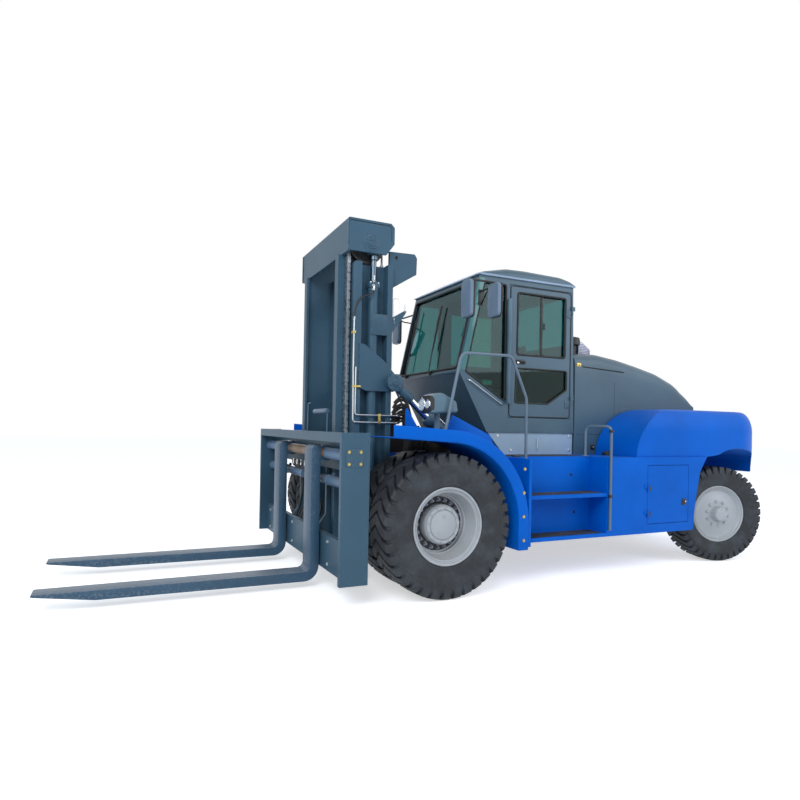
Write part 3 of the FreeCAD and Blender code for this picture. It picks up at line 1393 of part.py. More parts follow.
def fork(side):
    """Forged fork: tapered blade, round heel, upright shank and the eye on its shaft."""
    back = FORK_FRONT_X - FORK_THICKNESS
    bottom = FORK_TOP_Z - FORK_THICKNESS
    heel_out = 150.0
    heel_in = 60.0
    start_z = bottom + heel_out
    arc_out = []
    arc_in = []
    for k in range(7):
        angle = math.pi + math.pi / 2.0 * k / 6.0
        arc_out.append((back + heel_out + heel_out * math.cos(angle), start_z + heel_out * math.sin(angle)))
        arc_in.append(
            (FORK_FRONT_X + heel_in + heel_in * math.cos(angle), FORK_TOP_Z + heel_in + heel_in * math.sin(angle))
        )
    tip_x = FORK_TIP_X
    outline = [(back, FORK_SHAFT_Z)] + arc_out
    outline += [(tip_x - 500.0, bottom + 12.0), (tip_x, FORK_TOP_Z - FORK_TIP), (tip_x, FORK_TOP_Z)]
    outline += arc_in[::-1]
    outline += [(FORK_FRONT_X, FORK_SHAFT_Z + 40.0), (FORK_FRONT_X - 30.0, FORK_SHAFT_Z + 75.0), (back, FORK_SHAFT_Z + 85.0)]
    y0 = side * FORK_Y - FORK_WIDTH / 2.0
    blade = slab_y(outline, y0, y0 + FORK_WIDTH)
    eye = bar_y(FORK_SHAFT_X, FORK_SHAFT_Z, y0, y0 + FORK_WIDTH, FORK_SHAFT_RADIUS + 30.0)
    whole = fuse([blade, eye])
    return whole.cut(bore_y(FORK_SHAFT_X, FORK_SHAFT_Z, y0 - 10.0, y0 + FORK_WIDTH + 10.0, FORK_SHAFT_RADIUS + BEARING_FIT))


# ---- tilt cylinders -----------------------------------------------------------------------
def tilt_points(side):
    """Frame pin, mast pin and unit direction of a tilt cylinder."""
    start = V(TILT_FRAME_X, side * TILT_Y, TILT_FRAME_Z)
    end = V(TILT_MAST_X, side * TILT_Y, TILT_MAST_Z)
    return start, end, (end - start).normalize()


def tilt_barrel(side):
    """Barrel of a tilt cylinder with its base eye."""
    start, end, way = tilt_points(side)
    eye = bar_y(start.x, start.z, start.y - 42.0, start.y + 42.0, 75.0)
    barrel = rod(start + way * 50.0, start + way * TILT_BARREL_END, TILT_BARREL_RADIUS)
    whole = fuse([eye, barrel])
    inside = rod(start + way * 150.0, start + way * (TILT_BARREL_END + 10.0), TILT_ROD_RADIUS + ROD_FIT)
    pin = bore_y(start.x, start.z, start.y - 50.0, start.y + 50.0, TILT_PIN_RADIUS + BEARING_FIT)
    return cut(whole, [inside, pin])


def tilt_rod(side):
    """Chromed rod of a tilt cylinder with the eye on the mast's pin."""
    start, end, way = tilt_points(side)
    reach = (end - start).Length
    eye = bar_y(end.x, end.z, end.y - 42.0, end.y + 42.0, 80.0)
    stem = rod(start + way * 500.0, start + way * (reach - 40.0), TILT_ROD_RADIUS)
    pin = bore_y(end.x, end.z, end.y - 50.0, end.y + 50.0, TILT_PIN_RADIUS + TILT_EYE_PLAY)
    return fuse([eye, stem]).cut(pin)


# ---- the whole truck ----------------------------------------------------------------------
def build():
    """Every node's shape, by name."""
    right_side, left_side = side_body()
    nodes = {
        "frame": frame(),
        "drive_axle": drive_axle(),
        "steer_axle": steer_axle(),
        "side_steps": both(side_steps()),
        "side_bodies": group([left_side, mirrored(right_side)]),
        "service_door": service_door(),
        "front_fenders": both(front_fender()),
        "counterweight": counterweight(),
        "engine_hood": engine_hood(),
        "engine_cowl": engine_cowl(),
        "engine_block": engine_block(),
        "cab_shell": cab_shell(),
        "cab_roof": cab_roof(),
        "cab_glass": cab_glass(),
        "cab_door": cab_door(),
        "door_glass": door_glass(),
        "cab_plinth": cab_plinth(),
        "seat": seat(),
        "console": console(),
        "headlights": both(headlight()),
        "handrails": handrails(),
        "mirrors": both(mirror_left()),
        "air_cleaner": air_cleaner(),
        "exhaust": exhaust(),
        "outer_mast": outer_mast(),
        "lift_cylinders": group([lift_barrel(1), lift_barrel(-1)]),
        "inner_mast": inner_mast(),
        "lift_rods": group([lift_rod(1), lift_rod(-1)]),
        "sheaves": group([sheave(1), sheave(-1)]),
        "lift_chains": group([chain(1), chain(-1)]),
        "carriage": carriage(),
        "fork_shaft": fork_shaft(),
        "positioners": positioners(),
    }
    for name, side in (("left", 1), ("right", -1)):
        nodes["drive_tyres_" + name] = drive_tyres() if side > 0 else mirrored(drive_tyres())
        nodes["drive_rim_" + name] = drive_rim() if side > 0 else mirrored(drive_rim())
        nodes["steer_tyre_" + name] = turned_to_rest(steer_tyre(), side)
        nodes["steer_rim_" + name] = turned_to_rest(steer_rim(), side)
        nodes["knuckle_" + name] = turned_to_rest(knuckle(), side)
        nodes["fork_" + name] = fork(side)
        nodes["tilt_barrel_" + name] = tilt_barrel(side)
        nodes["tilt_rod_" + name] = tilt_rod(side)
    return nodes


os.makedirs("parts", exist_ok=True)
for node_name, shape in build().items():
    placed = shape.copy()
    placed.translate(V(-ORIGIN_X, 0, 0))
    placed.exportStep("parts/" + node_name + ".step")
    print(node_name, "solids", len(placed.Solids), "valid", placed.isValid(), round(placed.Volume / 1e9, 4))
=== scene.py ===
import json
import math
import random

import bmesh
import bpy
from mathutils import Matrix, Vector


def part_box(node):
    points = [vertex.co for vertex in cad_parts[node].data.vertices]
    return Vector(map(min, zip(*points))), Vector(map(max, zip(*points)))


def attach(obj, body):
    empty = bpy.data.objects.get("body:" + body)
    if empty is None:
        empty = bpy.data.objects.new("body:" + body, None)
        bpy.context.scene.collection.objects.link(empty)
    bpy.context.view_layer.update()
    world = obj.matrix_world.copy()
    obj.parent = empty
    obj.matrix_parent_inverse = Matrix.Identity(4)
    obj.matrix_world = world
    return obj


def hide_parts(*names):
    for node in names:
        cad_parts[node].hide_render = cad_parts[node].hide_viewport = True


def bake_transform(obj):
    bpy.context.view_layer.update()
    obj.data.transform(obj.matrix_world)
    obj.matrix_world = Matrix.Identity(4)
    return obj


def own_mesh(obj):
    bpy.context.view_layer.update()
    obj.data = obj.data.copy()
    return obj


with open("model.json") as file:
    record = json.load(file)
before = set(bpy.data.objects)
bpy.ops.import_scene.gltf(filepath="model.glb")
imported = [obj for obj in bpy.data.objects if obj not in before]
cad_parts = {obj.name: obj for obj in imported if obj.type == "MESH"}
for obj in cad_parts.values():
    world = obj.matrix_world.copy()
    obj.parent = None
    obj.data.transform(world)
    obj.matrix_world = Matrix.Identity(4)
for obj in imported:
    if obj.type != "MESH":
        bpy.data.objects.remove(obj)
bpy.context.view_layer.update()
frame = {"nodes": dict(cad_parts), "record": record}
nodes = frame["nodes"]


# ---------------------------------------------------------------- camera
# A camera at eye height, off the near front corner of the truck, looking level along it
# with a slight roll. Its shift only centres the truck in the square frame.

yaw, pitch, roll = (math.radians(angle) for angle in (-114.1341, 0.1382, 1.0769))
forward = Vector((math.cos(yaw) * math.cos(pitch), math.sin(yaw) * math.cos(pitch), math.sin(pitch)))
level_right = forward.cross(Vector((0, 0, 1))).normalized()
level_up = level_right.cross(forward)
right = level_right * math.cos(roll) + level_up * math.sin(roll)
up = level_up * math.cos(roll) - level_right * math.sin(roll)

camera_data = bpy.data.cameras.new("camera")
camera_data.lens = 26.241
camera_data.sensor_width = 36.0
camera_data.shift_x = 0.02917
camera_data.shift_y = 0.031
camera_data.clip_end = 200.0
camera = bpy.data.objects.new("camera", camera_data)
camera.matrix_world = Matrix.Translation((3.7301, 6.3696, 1.6431)) @ Matrix((right, up,
                                                                             -forward)).transposed().to_4x4()
bpy.context.scene.collection.objects.link(camera)
bpy.context.scene.camera = camera
bpy.context.scene.view_settings.view_transform = "Standard"


# ---------------------------------------------------------------- studio
# A plain white sweep under soft light: a strong panel high on the near front side, weaker ones behind it
# and on the far side, and an even white sky. The sweep's floor is a matt sheet that takes a faint shadow.

def srgb(code, alpha=1.0):
    """The linear colour of an sRGB hex code."""
    channels = [int(code[i:i + 2], 16) / 255 for i in (0, 2, 4)]
    linear = [c / 12.92 if c <= 0.04045 else ((c + 0.055) / 1.055) ** 2.4 for c in channels]
    return (*linear, alpha)


def add(tree, kind, settings=None, links=None):
    """Adds a shader node: settings are properties or input values, links name each input's source."""
    node = tree.nodes.new("ShaderNode" + kind)
    for key, value in (settings or {}).items():
        if isinstance(key, str) and hasattr(node, key):
            setattr(node, key, value)
        else:
            node.inputs[key].default_value = value
    for key, source in (links or {}).items():
        tree.links.new(source, node.inputs[key])
    return node


def looked_at(tree):
    """One for rays from the camera, through glass or off a mirror, and nought for the light on the truck."""
    path = add(tree, "LightPath")
    seen = path.outputs["Is Camera Ray"]
    for kind in ("Is Transmission Ray", "Is Glossy Ray"):
        seen = add(tree, "Math", {"operation": "MAXIMUM"}, {0: seen, 1: path.outputs[kind]}).outputs[0]
    return seen


world = bpy.data.worlds.new("white_sky")
bpy.context.scene.world = world
world.use_nodes = True
world.node_tree.nodes.clear()
sky_light = add(world.node_tree, "Background", {"Color": srgb("dfeaf6"), "Strength": 0.6})
sky_seen = add(world.node_tree, "Background", {"Color": (1, 1, 1, 1), "Strength": 1.0})
sky = add(world.node_tree, "MixShader", None, {
    0: looked_at(world.node_tree), 1: sky_light.outputs[0], 2: sky_seen.outputs[0]})
add(world.node_tree, "OutputWorld", None, {0: sky.outputs[0]})

panels = (
    ("key_panel", (7.5, 8.5, 8.5), 6.0, 800.0, "f6f9ff"),
    ("side_panel", (-7.0, 7.0, 6.0), 6.0, 260.0, "f2f6ff"),
    ("far_panel", (-2.0, -9.0, 8.0), 7.0, 260.0, "eef3ff"),
)
for panel_name, place, size, power, tint in panels:
    panel_data = bpy.data.lights.new(panel_name, "AREA")
    panel_data.shape = "SQUARE"
    panel_data.size = size
    panel_data.energy = power
    panel_data.color = srgb(tint)[:3]
    panel = bpy.data.objects.new(panel_name, panel_data)
    panel.location = place
    panel.rotation_euler = (Vector((0, 0, 1.2)) - Vector(place)).to_track_quat("-Z", "Y").to_euler()
    bpy.context.scene.collection.objects.link(panel)

floor_mesh = bpy.data.meshes.new("studio_floor")
floor_mesh.from_pydata([(-60, -60, 0), (60, -60, 0), (60, 60, 0), (-60, 60, 0)], [], [(0, 1, 2, 3)])
floor = bpy.data.objects.new("studio_floor", floor_mesh)
bpy.context.scene.collection.objects.link(floor)

floor_paper = bpy.data.materials.new("matt_white_paper")
floor_paper.use_nodes = True
paper = floor_paper.node_tree
paper.nodes.clear()
paper_place = add(paper, "TexCoord")
paper_grain = add(paper, "TexNoise", {"Scale": 3.0, "Detail": 3.0}, {"Vector": paper_place.outputs["Object"]})
paper_tone = add(paper, "ValToRGB", None, {0: paper_grain.outputs["Fac"]})
paper_tone.color_ramp.elements[0].color = srgb("f7f7f7")
paper_tone.color_ramp.elements[1].color = srgb("fcfcfc")
paper_shade = add(paper, "BsdfDiffuse", None, {"Color": paper_tone.outputs[0]})
paper_glow = add(paper, "Emission", {"Color": (1, 1, 1, 1), "Strength": 0.55})
paper_sum = add(paper, "AddShader", None, {0: paper_shade.outputs[0], 1: paper_glow.outputs[0]})
paper_mix = add(paper, "MixShader", None, {0: looked_at(paper), 1: paper_shade.outputs[0], 2: paper_sum.outputs[0]})
add(paper, "OutputMaterial", None, {0: paper_mix.outputs[0]})
floor_mesh.materials.append(floor_paper)


# ---------------------------------------------------------------- sprayed steel paint
# The plate work is brushed down, primed and sprayed. Two-pack enamel over steel plate shows a fine
# orange peel, soft broad tone changes, dust that settles on top faces, and bare bright edges.

def shaded(name):
    """A new material with its node tree, its shader and the object's own coordinates."""
    made = bpy.data.materials.new(name)
    made.use_nodes = True
    tree = made.node_tree
    return made, tree, tree.nodes["Principled BSDF"], add(tree, "TexCoord").outputs["Object"]


def joined(tree, shader, tone, rough, bump):
    """Leads three chains of nodes to a shader's colour, roughness and normal."""
    for source, name in ((tone, "Base Color"), (rough, "Roughness"), (bump, "Normal")):
        tree.links.new(source.outputs[0], shader.inputs[name])


def painted(name, code, roughness=0.4, coat=0.0, dust=0.12, wear=0.35, edge=0.006, dust_code="a39a8c", gloss=0.5):
    """Sprayed paint on steel plate, with rounded and worn edges, settled dust and a fine orange peel."""
    made, tree, shader, place = shaded(name)
    broad = add(tree, "TexNoise", {"Scale": 1.7, "Detail": 4.0, "Roughness": 0.55}, {"Vector": place})
    fine = add(tree, "TexNoise", {"Scale": 38.0, "Detail": 6.0, "Roughness": 0.65}, {"Vector": place})
    peel = add(tree, "TexNoise", {"Scale": 420.0, "Detail": 2.0}, {"Vector": place})
    round_edge = add(tree, "Bevel", {"samples": 4, "Radius": edge})
    geometry = add(tree, "NewGeometry")
    flat = add(tree, "VectorMath", {"operation": "DOT_PRODUCT"}, {
        0: round_edge.outputs[0], 1: geometry.outputs["True Normal"]})
    edge_mask = add(tree, "MapRange", {"From Min": 0.995, "From Max": 0.9}, {"Value": flat.outputs["Value"]})
    edge_break = add(tree, "MapRange", {"From Min": 0.48, "From Max": 0.62}, {"Value": fine.outputs["Fac"]})
    edge_worn = add(tree, "Math", {"operation": "MULTIPLY"}, {
        0: edge_mask.outputs[0], 1: edge_break.outputs[0]})
    edge_share = add(tree, "Math", {"operation": "MULTIPLY", 1: wear}, {0: edge_worn.outputs[0]})
    tone = add(tree, "MixRGB", {"blend_type": "MULTIPLY", 0: 1.0, 1: srgb(code)})
    tone_range = add(tree, "ValToRGB", None, {0: broad.outputs["Fac"]})
    tone_range.color_ramp.elements[0].position = 0.3
    tone_range.color_ramp.elements[0].color = (0.8, 0.8, 0.8, 1)
    tone_range.color_ramp.elements[1].position = 0.7
    tone_range.color_ramp.elements[1].color = (1, 1, 1, 1)
    tree.links.new(tone_range.outputs[0], tone.inputs[2])
    facing = add(tree, "SeparateXYZ", None, {0: geometry.outputs["Normal"]})
    lying = add(tree, "MapRange", {"From Min": 0.35, "From Max": 1.0, "To Max": 1.0}, {
        "Value": facing.outputs["Z"]})
    settled = add(tree, "MapRange", {"From Min": 0.35, "From Max": 0.75, "To Min": 0.25}, {
        "Value": fine.outputs["Fac"]})
    dusty = add(tree, "Math", {"operation": "MULTIPLY"}, {0: lying.outputs[0], 1: settled.outputs[0]})
    dust_share = add(tree, "Math", {"operation": "MULTIPLY", 1: dust * 3.0}, {0: dusty.outputs[0]})
    speck = add(tree, "MapRange", {"From Min": 0.6, "From Max": 0.8, "To Max": dust}, {
        "Value": fine.outputs["Fac"]})
    dust_all = add(tree, "Math", {"operation": "MAXIMUM"}, {0: dust_share.outputs[0], 1: speck.outputs[0]})
    dusted = add(tree, "MixRGB", {2: srgb(dust_code)}, {0: dust_all.outputs[0], 1: tone.outputs[0]})
    bared = add(tree, "MixRGB", {2: srgb("9aa3a8")}, {0: edge_share.outputs[0], 1: dusted.outputs[0]})
    rough = add(tree, "MapRange", {"To Min": roughness - 0.07, "To Max": roughness + 0.12}, {
        "Value": fine.outputs["Fac"]})
    bump = add(tree, "Bump", {"Strength": 0.12, "Distance": 0.0006}, {
        "Height": peel.outputs["Fac"], "Normal": round_edge.outputs[0]})
    joined(tree, shader, bared, rough, bump)
    shader.inputs["Coat Weight"].default_value = coat
    shader.inputs["Coat Roughness"].default_value = 0.12
    shader.inputs["Specular IOR Level"].default_value = gloss
    return made


body_blue = painted("gloss_blue_enamel_sprayed", "0065cf", 0.4, dust=0.015, wear=0.05, gloss=0.1)
mast_slate = painted("satin_slate_enamel_sprayed", "37586c", 0.42, dust=0.08, wear=0.45, gloss=0.35)
graphite = painted("satin_graphite_enamel_sprayed", "466272", 0.36, coat=0.1, dust=0.05, wear=0.1, gloss=0.35)
plinth_grey = painted("pale_grey_enamel_sprayed", "9ab2c8", 0.42, dust=0.05, wear=0.1)
lamp_grey = painted("grey_blue_enamel_sprayed", "54707f", 0.42, dust=0.08, wear=0.2)
rail_grey = painted("grey_powder_coat_baked", "607586", 0.34, dust=0.04, wear=0.15, edge=0.002)
rim_silver = painted("silver_wheel_lacquer_sprayed", "b3b7ba", 0.36, dust=0.16, wear=0.1, dust_code="8d8578")
axle_black = painted("black_chassis_paint_brushed", "26282a", 0.55, dust=0.22, wear=0.2, dust_code="6b6255")
engine_iron = painted("dark_cast_iron_as_cast", "34373a", 0.7, dust=0.2, wear=0.05)

slots = {
    "body_blue": body_blue, "mast_slate": mast_slate, "graphite": graphite, "plinth_grey": plinth_grey,
    "lamp_grey": lamp_grey, "rail_grey": rail_grey, "rim_silver": rim_silver, "axle_black": axle_black,
    "engine_iron": engine_iron,
}


# ---------------------------------------------------------------- bare and plated metal
# Ground rods are hard chromed, chains and pins are bare oiled steel, and the exhaust cover is
# bright perforated sheet. Fine scratches run round them and oil darkens the low spots.

def metal(name, code, roughness, scale=90.0, stain=0.25, stain_code="3a2f24"):
    """Bare or plated metal with fine scratches and oily stains."""
    made, tree, shader, place = shaded(name)
    scratch = add(tree, "TexNoise", {"Scale": scale, "Detail": 8.0, "Roughness": 0.7}, {"Vector": place})
    patch = add(tree, "TexNoise", {"Scale": 9.0, "Detail": 5.0, "Roughness": 0.6}, {"Vector": place})
    stained = add(tree, "MapRange", {"From Min": 0.5, "From Max": 0.72, "To Max": stain}, {
        "Value": patch.outputs["Fac"]})
    tone = add(tree, "MixRGB", {1: srgb(code), 2: srgb(stain_code)}, {0: stained.outputs[0]})
    rough = add(tree, "MapRange", {"To Min": roughness * 0.7, "To Max": roughness * 1.5}, {
        "Value": scratch.outputs["Fac"]})
    bump = add(tree, "Bump", {"Strength": 0.1, "Distance": 0.0004}, {"Height": scratch.outputs["Fac"]})
    joined(tree, shader, tone, rough, bump)
    shader.inputs["Metallic"].default_value = 1.0
    return made


slots["chrome"] = metal("hard_chrome_ground", "d3d8dd", 0.14, stain=0.14)
slots["chain_steel"] = metal("oiled_chain_steel_stamped", "a9b2ba", 0.34, stain=0.6, stain_code="26231f")
slots["exhaust_steel"] = metal("bright_steel_rolled", "8f92a2", 0.34, stain=0.3)


# ---------------------------------------------------------------- rubber, plastic, cloth, glass
# Tyres are black rubber gone grey with road dust in the low places; trim is matt moulded plastic;
# the seat is woven cloth; the windows are tinted safety glass.

def moulded(name, code, roughness, grain=260.0, depth=0.0004, dust=0.1, dust_code="8c857a", patch_scale=6.0):
    """Moulded rubber or plastic with a fine grain and pale dust."""
    made, tree, shader, place = shaded(name)
    grit = add(tree, "TexNoise", {"Scale": grain, "Detail": 4.0, "Roughness": 0.6}, {"Vector": place})
    patch = add(tree, "TexNoise", {"Scale": patch_scale, "Detail": 6.0, "Roughness": 0.62}, {"Vector": place})
    share = add(tree, "MapRange", {"From Min": 0.42, "From Max": 0.72, "To Max": dust}, {
        "Value": patch.outputs["Fac"]})
    tone = add(tree, "MixRGB", {1: srgb(code), 2: srgb(dust_code)}, {0: share.outputs[0]})
    rough = add(tree, "MapRange", {"To Min": roughness - 0.08, "To Max": roughness + 0.1}, {
        "Value": patch.outputs["Fac"]})
    bump = add(tree, "Bump", {"Strength": 0.25, "Distance": depth}, {"Height": grit.outputs["Fac"]})
    joined(tree, shader, tone, rough, bump)
    return made


slots["tyre"] = moulded("black_tyre_rubber_cured", "181c21", 0.66, grain=120.0, depth=0.0012, dust=0.2,
                        dust_code="6f7983")
slots["black_plastic"] = moulded("black_plastic_moulded", "191a1c", 0.48, dust=0.06)

cloth, weave, weave_shader, weave_place = shaded("charcoal_cloth_woven")
warp = add(weave, "TexWave", {"bands_direction": "Y", "Scale": 320.0, "Distortion": 0.6}, {"Vector": weave_place})
weft = add(weave, "TexWave", {"bands_direction": "Z", "Scale": 320.0, "Distortion": 0.6}, {"Vector": weave_place})
threads = add(weave, "Math", {"operation": "MULTIPLY"}, {0: warp.outputs["Fac"], 1: weft.outputs["Fac"]})
thread_tone = add(weave, "MixRGB", {1: srgb("1f2125"), 2: srgb("3c4048")}, {0: threads.outputs[0]})
weave.links.new(thread_tone.outputs[0], weave_shader.inputs["Base Color"])
weave_bump = add(weave, "Bump", {"Strength": 0.5, "Distance": 0.0008}, {"Height": threads.outputs[0]})
weave.links.new(weave_bump.outputs[0], weave_shader.inputs["Normal"])
weave_shader.inputs["Roughness"].default_value = 0.9
weave_shader.inputs["Sheen Weight"].default_value = 0.3
slots["seat_fabric"] = cloth


def safety_glass(name, tint):
    """Tinted float glass: each face passes a tint and mirrors more as it is seen more along its surface."""
    made = bpy.data.materials.new(name)
    made.use_nodes = True
    tree = made.node_tree
    tree.nodes.clear()
    place = add(tree, "TexCoord").outputs["Object"]
    film = add(tree, "TexNoise", {"Scale": 5.0, "Detail": 5.0}, {"Vector": place})
    rough = add(tree, "MapRange", {"To Min": 0.01, "To Max": 0.05}, {"Value": film.outputs["Fac"]})
    clear = add(tree, "BsdfTransparent", {"Color": srgb(tint)})
    gloss = add(tree, "BsdfGlossy", {"Color": srgb("dceef0")}, {"Roughness": rough.outputs[0]})
    facing = add(tree, "LayerWeight", {"Blend": 0.5})
    slant = add(tree, "Math", {"operation": "POWER", 1: 4.0}, {0: facing.outputs["Facing"]})
    share = add(tree, "MapRange", {"To Min": 0.035, "To Max": 0.55}, {"Value": slant.outputs[0]})
    mix = add(tree, "MixShader", None, {0: share.outputs[0], 1: clear.outputs[0], 2: gloss.outputs[0]})
    add(tree, "OutputMaterial", None, {0: mix.outputs[0]})
    return made


slots["glass"] = safety_glass("teal_safety_glass_float", "8fbfb7")

for entry in frame["record"]["subparts"]:
    node_mesh = nodes[entry["node"]].data
    node_mesh.materials.clear()
    node_mesh.materials.append(slots[entry["material_slot"]])


# ---------------------------------------------------------------- tyres
# Cross-ply industrial tyres, moulded in a two-half press: thick shoulder lugs that run in a V to the
# middle of the tread, a plain bulging side wall with two thin rings, and a bead under the rim's flange.

def piece(name, body, material, grown, sharp=32.0):
    """A piece from a bmesh, which it empties for the next: smooth faces, sharp where they turn by more than
    an angle, riding on its body if one is named."""
    bmesh.ops.recalc_face_normals(grown, faces=grown.faces)
    for face in grown.faces:
        face.smooth = True
    for edge in grown.edges:
        edge.smooth = len(edge.link_faces) == 2 and edge.calc_face_angle(0.0) < math.radians(sharp)
    mesh = bpy.data.meshes.new(name)
    grown.to_mesh(mesh)
    grown.clear()
    mesh.materials.append(material)
    made = bpy.data.objects.new(name, mesh)
    bpy.context.scene.collection.objects.link(made)
    if body:
        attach(made, body)
    return made


def skin(grown, rows, around=True, capped=False):
    """Faces between neighbouring rows of corners, each row closed on itself or left open; capped closes the ends."""
    for one, two in zip(rows, rows[1:]):
        for k in range(len(one) if around else len(one) - 1):
            n = (k + 1) % len(one)
            grown.faces.new((one[k], one[n], two[n], two[k]))
    if capped:
        grown.faces.new(rows[0])
        grown.faces.new(rows[-1])


def tyre_rows(outer, bead, half):
    """Rows of one tyre from bead to bead: (radius, y) at the groove, (radius, y) at the lug, V share."""
    side = [
        (bead - 0.004, half * 0.74), (bead + 0.006, half * 0.82), (bead + 0.02, half * 0.87),
        (bead + 0.034, half * 0.865), (bead + 0.07, half * 0.935), (bead + 0.11, half * 0.98),
        (bead + 0.15, half * 0.996), (outer - 0.128, half * 0.985), (outer - 0.124, half),
        (outer - 0.118, half), (outer - 0.114, half * 0.975),
    ]
    tread = [
        (outer - 0.098, half * 0.955, outer - 0.094, half * 0.962),
        (outer - 0.07, half * 0.91, outer - 0.066, half * 0.985),
        (outer - 0.044, half * 0.85, outer - 0.03, half * 0.975),
        (outer - 0.036, half * 0.77, outer - 0.01, half * 0.9),
        (outer - 0.034, half * 0.6, outer - 0.004, half * 0.72),
        (outer - 0.033, half * 0.4, outer - 0.002, half * 0.46),
        (outer - 0.032, half * 0.2, outer - 0.0005, half * 0.22),
    ]
    rows = [((r, y), (r, y), 0.0) for r, y in side]
    rows += [((r0, y0), (r1, y1), 1.0 - y1 / half) for r0, y0, r1, y1 in tread]
    middle = [((outer - 0.032, 0.0), (outer, 0.0), 1.0)]
    mirror = [((a[0], -a[1]), (b[0], -b[1]), share) for a, b, share in reversed(rows)]
    return rows + middle + mirror


def tyre(grown, centre, outer, bead, half, lugs):
    """One lugged tyre about a centre, its axle along Y."""
    rings = []
    for groove, lug, share in tyre_rows(outer, bead, half):
        ring = []
        gap = 0.3 - 0.1 * share
        for k in range(lugs):
            for part, (radius, y) in ((0.0, groove), (gap - 0.05, groove), (gap, lug), (0.95, lug)):
                angle = 2 * math.pi * (k + part + 1.1 * share) / lugs
                ring.append(grown.verts.new(
                    (centre[0] + radius * math.cos(angle), centre[1] + y, centre[2] + radius * math.sin(angle))))
        rings.append(ring)
    skin(grown, rings)


hands = ((1, "left"), (-1, "right"))
steer_x, kingpin_y, parked_turn = -3.43, 0.98, -15.0  # the steered axle, and how far its wheels stand turned
drive_half, drive_lugs = 0.1875, 34         # half a tyre's width, and the lugs round it
steer_half, steer_lugs, steer_y = 0.1625, 38, 1.24
grown = bmesh.new()                         # the working mesh, which piece() empties for the next one


def around_kingpin(side):
    """Turns a straight-ahead steered wheel to where it stands, about its kingpin."""
    pin = Vector((steer_x, side * kingpin_y, 0.0))
    return Matrix.Translation(pin) @ Matrix.Rotation(math.radians(parked_turn), 4, "Z") @ Matrix.Translation(-pin)


rim_flat = math.cos(math.pi / 20)           # the frame's rims have 20 flats, and their box is across the flats
for side, hand in hands:
    low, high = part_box("drive_tyres_" + hand)
    rim_low, rim_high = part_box("drive_rim_" + hand)
    outer = (rim_high.z + rim_low.z) / 2
    middle_x = (low.x + high.x) / 2
    bead = (rim_high.z - rim_low.z) / 2 / rim_flat
    far, near = sorted((abs(low.y), abs(high.y)))
    for y in (near - drive_half, far + drive_half):
        tyre(grown, (middle_x, side * y, outer), outer, bead, drive_half, drive_lugs)
    tyre_pair = piece("drive_tyre_pair_" + hand, "drive_wheel_" + hand, slots["tyre"], grown)
    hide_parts("drive_tyres_" + hand)

    rim_low, rim_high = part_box("steer_rim_" + hand)
    outer = (rim_high.z + rim_low.z) / 2
    bead = (rim_high.z - rim_low.z) / 2 / rim_flat
    tyre(grown, (steer_x, side * steer_y, outer), outer, bead, steer_half, steer_lugs)
    bmesh.ops.transform(grown, matrix=around_kingpin(side), verts=grown.verts)
    single = piece("steer_tyre_lugged_" + hand, "steer_wheel_" + hand, slots["tyre"], grown)
    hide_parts("steer_tyre_" + hand)


# ---------------------------------------------------------------- wheel rims
# Three-piece rims rolled from steel and lacquered silver: a deep dish on the drive wheels with the
# hub drum standing in it inside a black ring of studs, and a shallow disc with a proud cap behind.

def ring_of(count, radius, start=0.0):
    """Points round a circle, as pairs."""
    return [(radius * math.cos(start + 2 * math.pi * k / count), radius * math.sin(start + 2 * math.pi * k / count))
            for k in range(count)]


def turn(grown, profile, centre, axis, steps, closed=False):
    """Sweeps a profile of (radius, distance along the axis) once round an axis; a closed one makes a ring."""
    axis = Vector(axis).normalized()
    start = Vector((0, 0, 1)) if abs(axis.z) < 0.9 else Vector((1, 0, 0))
    across = axis.cross(start).normalized()
    start = across.cross(axis)
    rings = []
    for radius, along in profile:
        base = Vector(centre) + axis * along
        if radius == 0:
            rings.append([grown.verts.new(base)])
            continue
        rings.append([grown.verts.new(base + start * a + across * b) for a, b in ring_of(steps, radius)])
    pairs = list(zip(rings, rings[1:]))
    if closed:
        pairs.append((rings[-1], rings[0]))
    for one, two in pairs:
        for k in range(steps):
            n = (k + 1) % steps
            corners = [one[k % len(one)], one[n % len(one)], two[n % len(two)], two[k % len(two)]]
            unique = list(dict.fromkeys(corners))
            if len(unique) > 2:
                grown.faces.new(unique)


def bolt(grown, place, axis, across, height, washer=True):
    """A hexagon head on its washer, standing on a face."""
    radius = across / 2 / math.cos(math.pi / 6)
    base = 0.0
    if washer:
        turn(grown, [(radius * 1.25, 0.0), (radius * 1.25, height * 0.22), (0, height * 0.22)], place, axis, 14)
        base = height * 0.2
    turn(grown, [
        (radius, base), (radius, height * 0.85), (radius * 0.86, height), (0, height)], place, axis, 6)


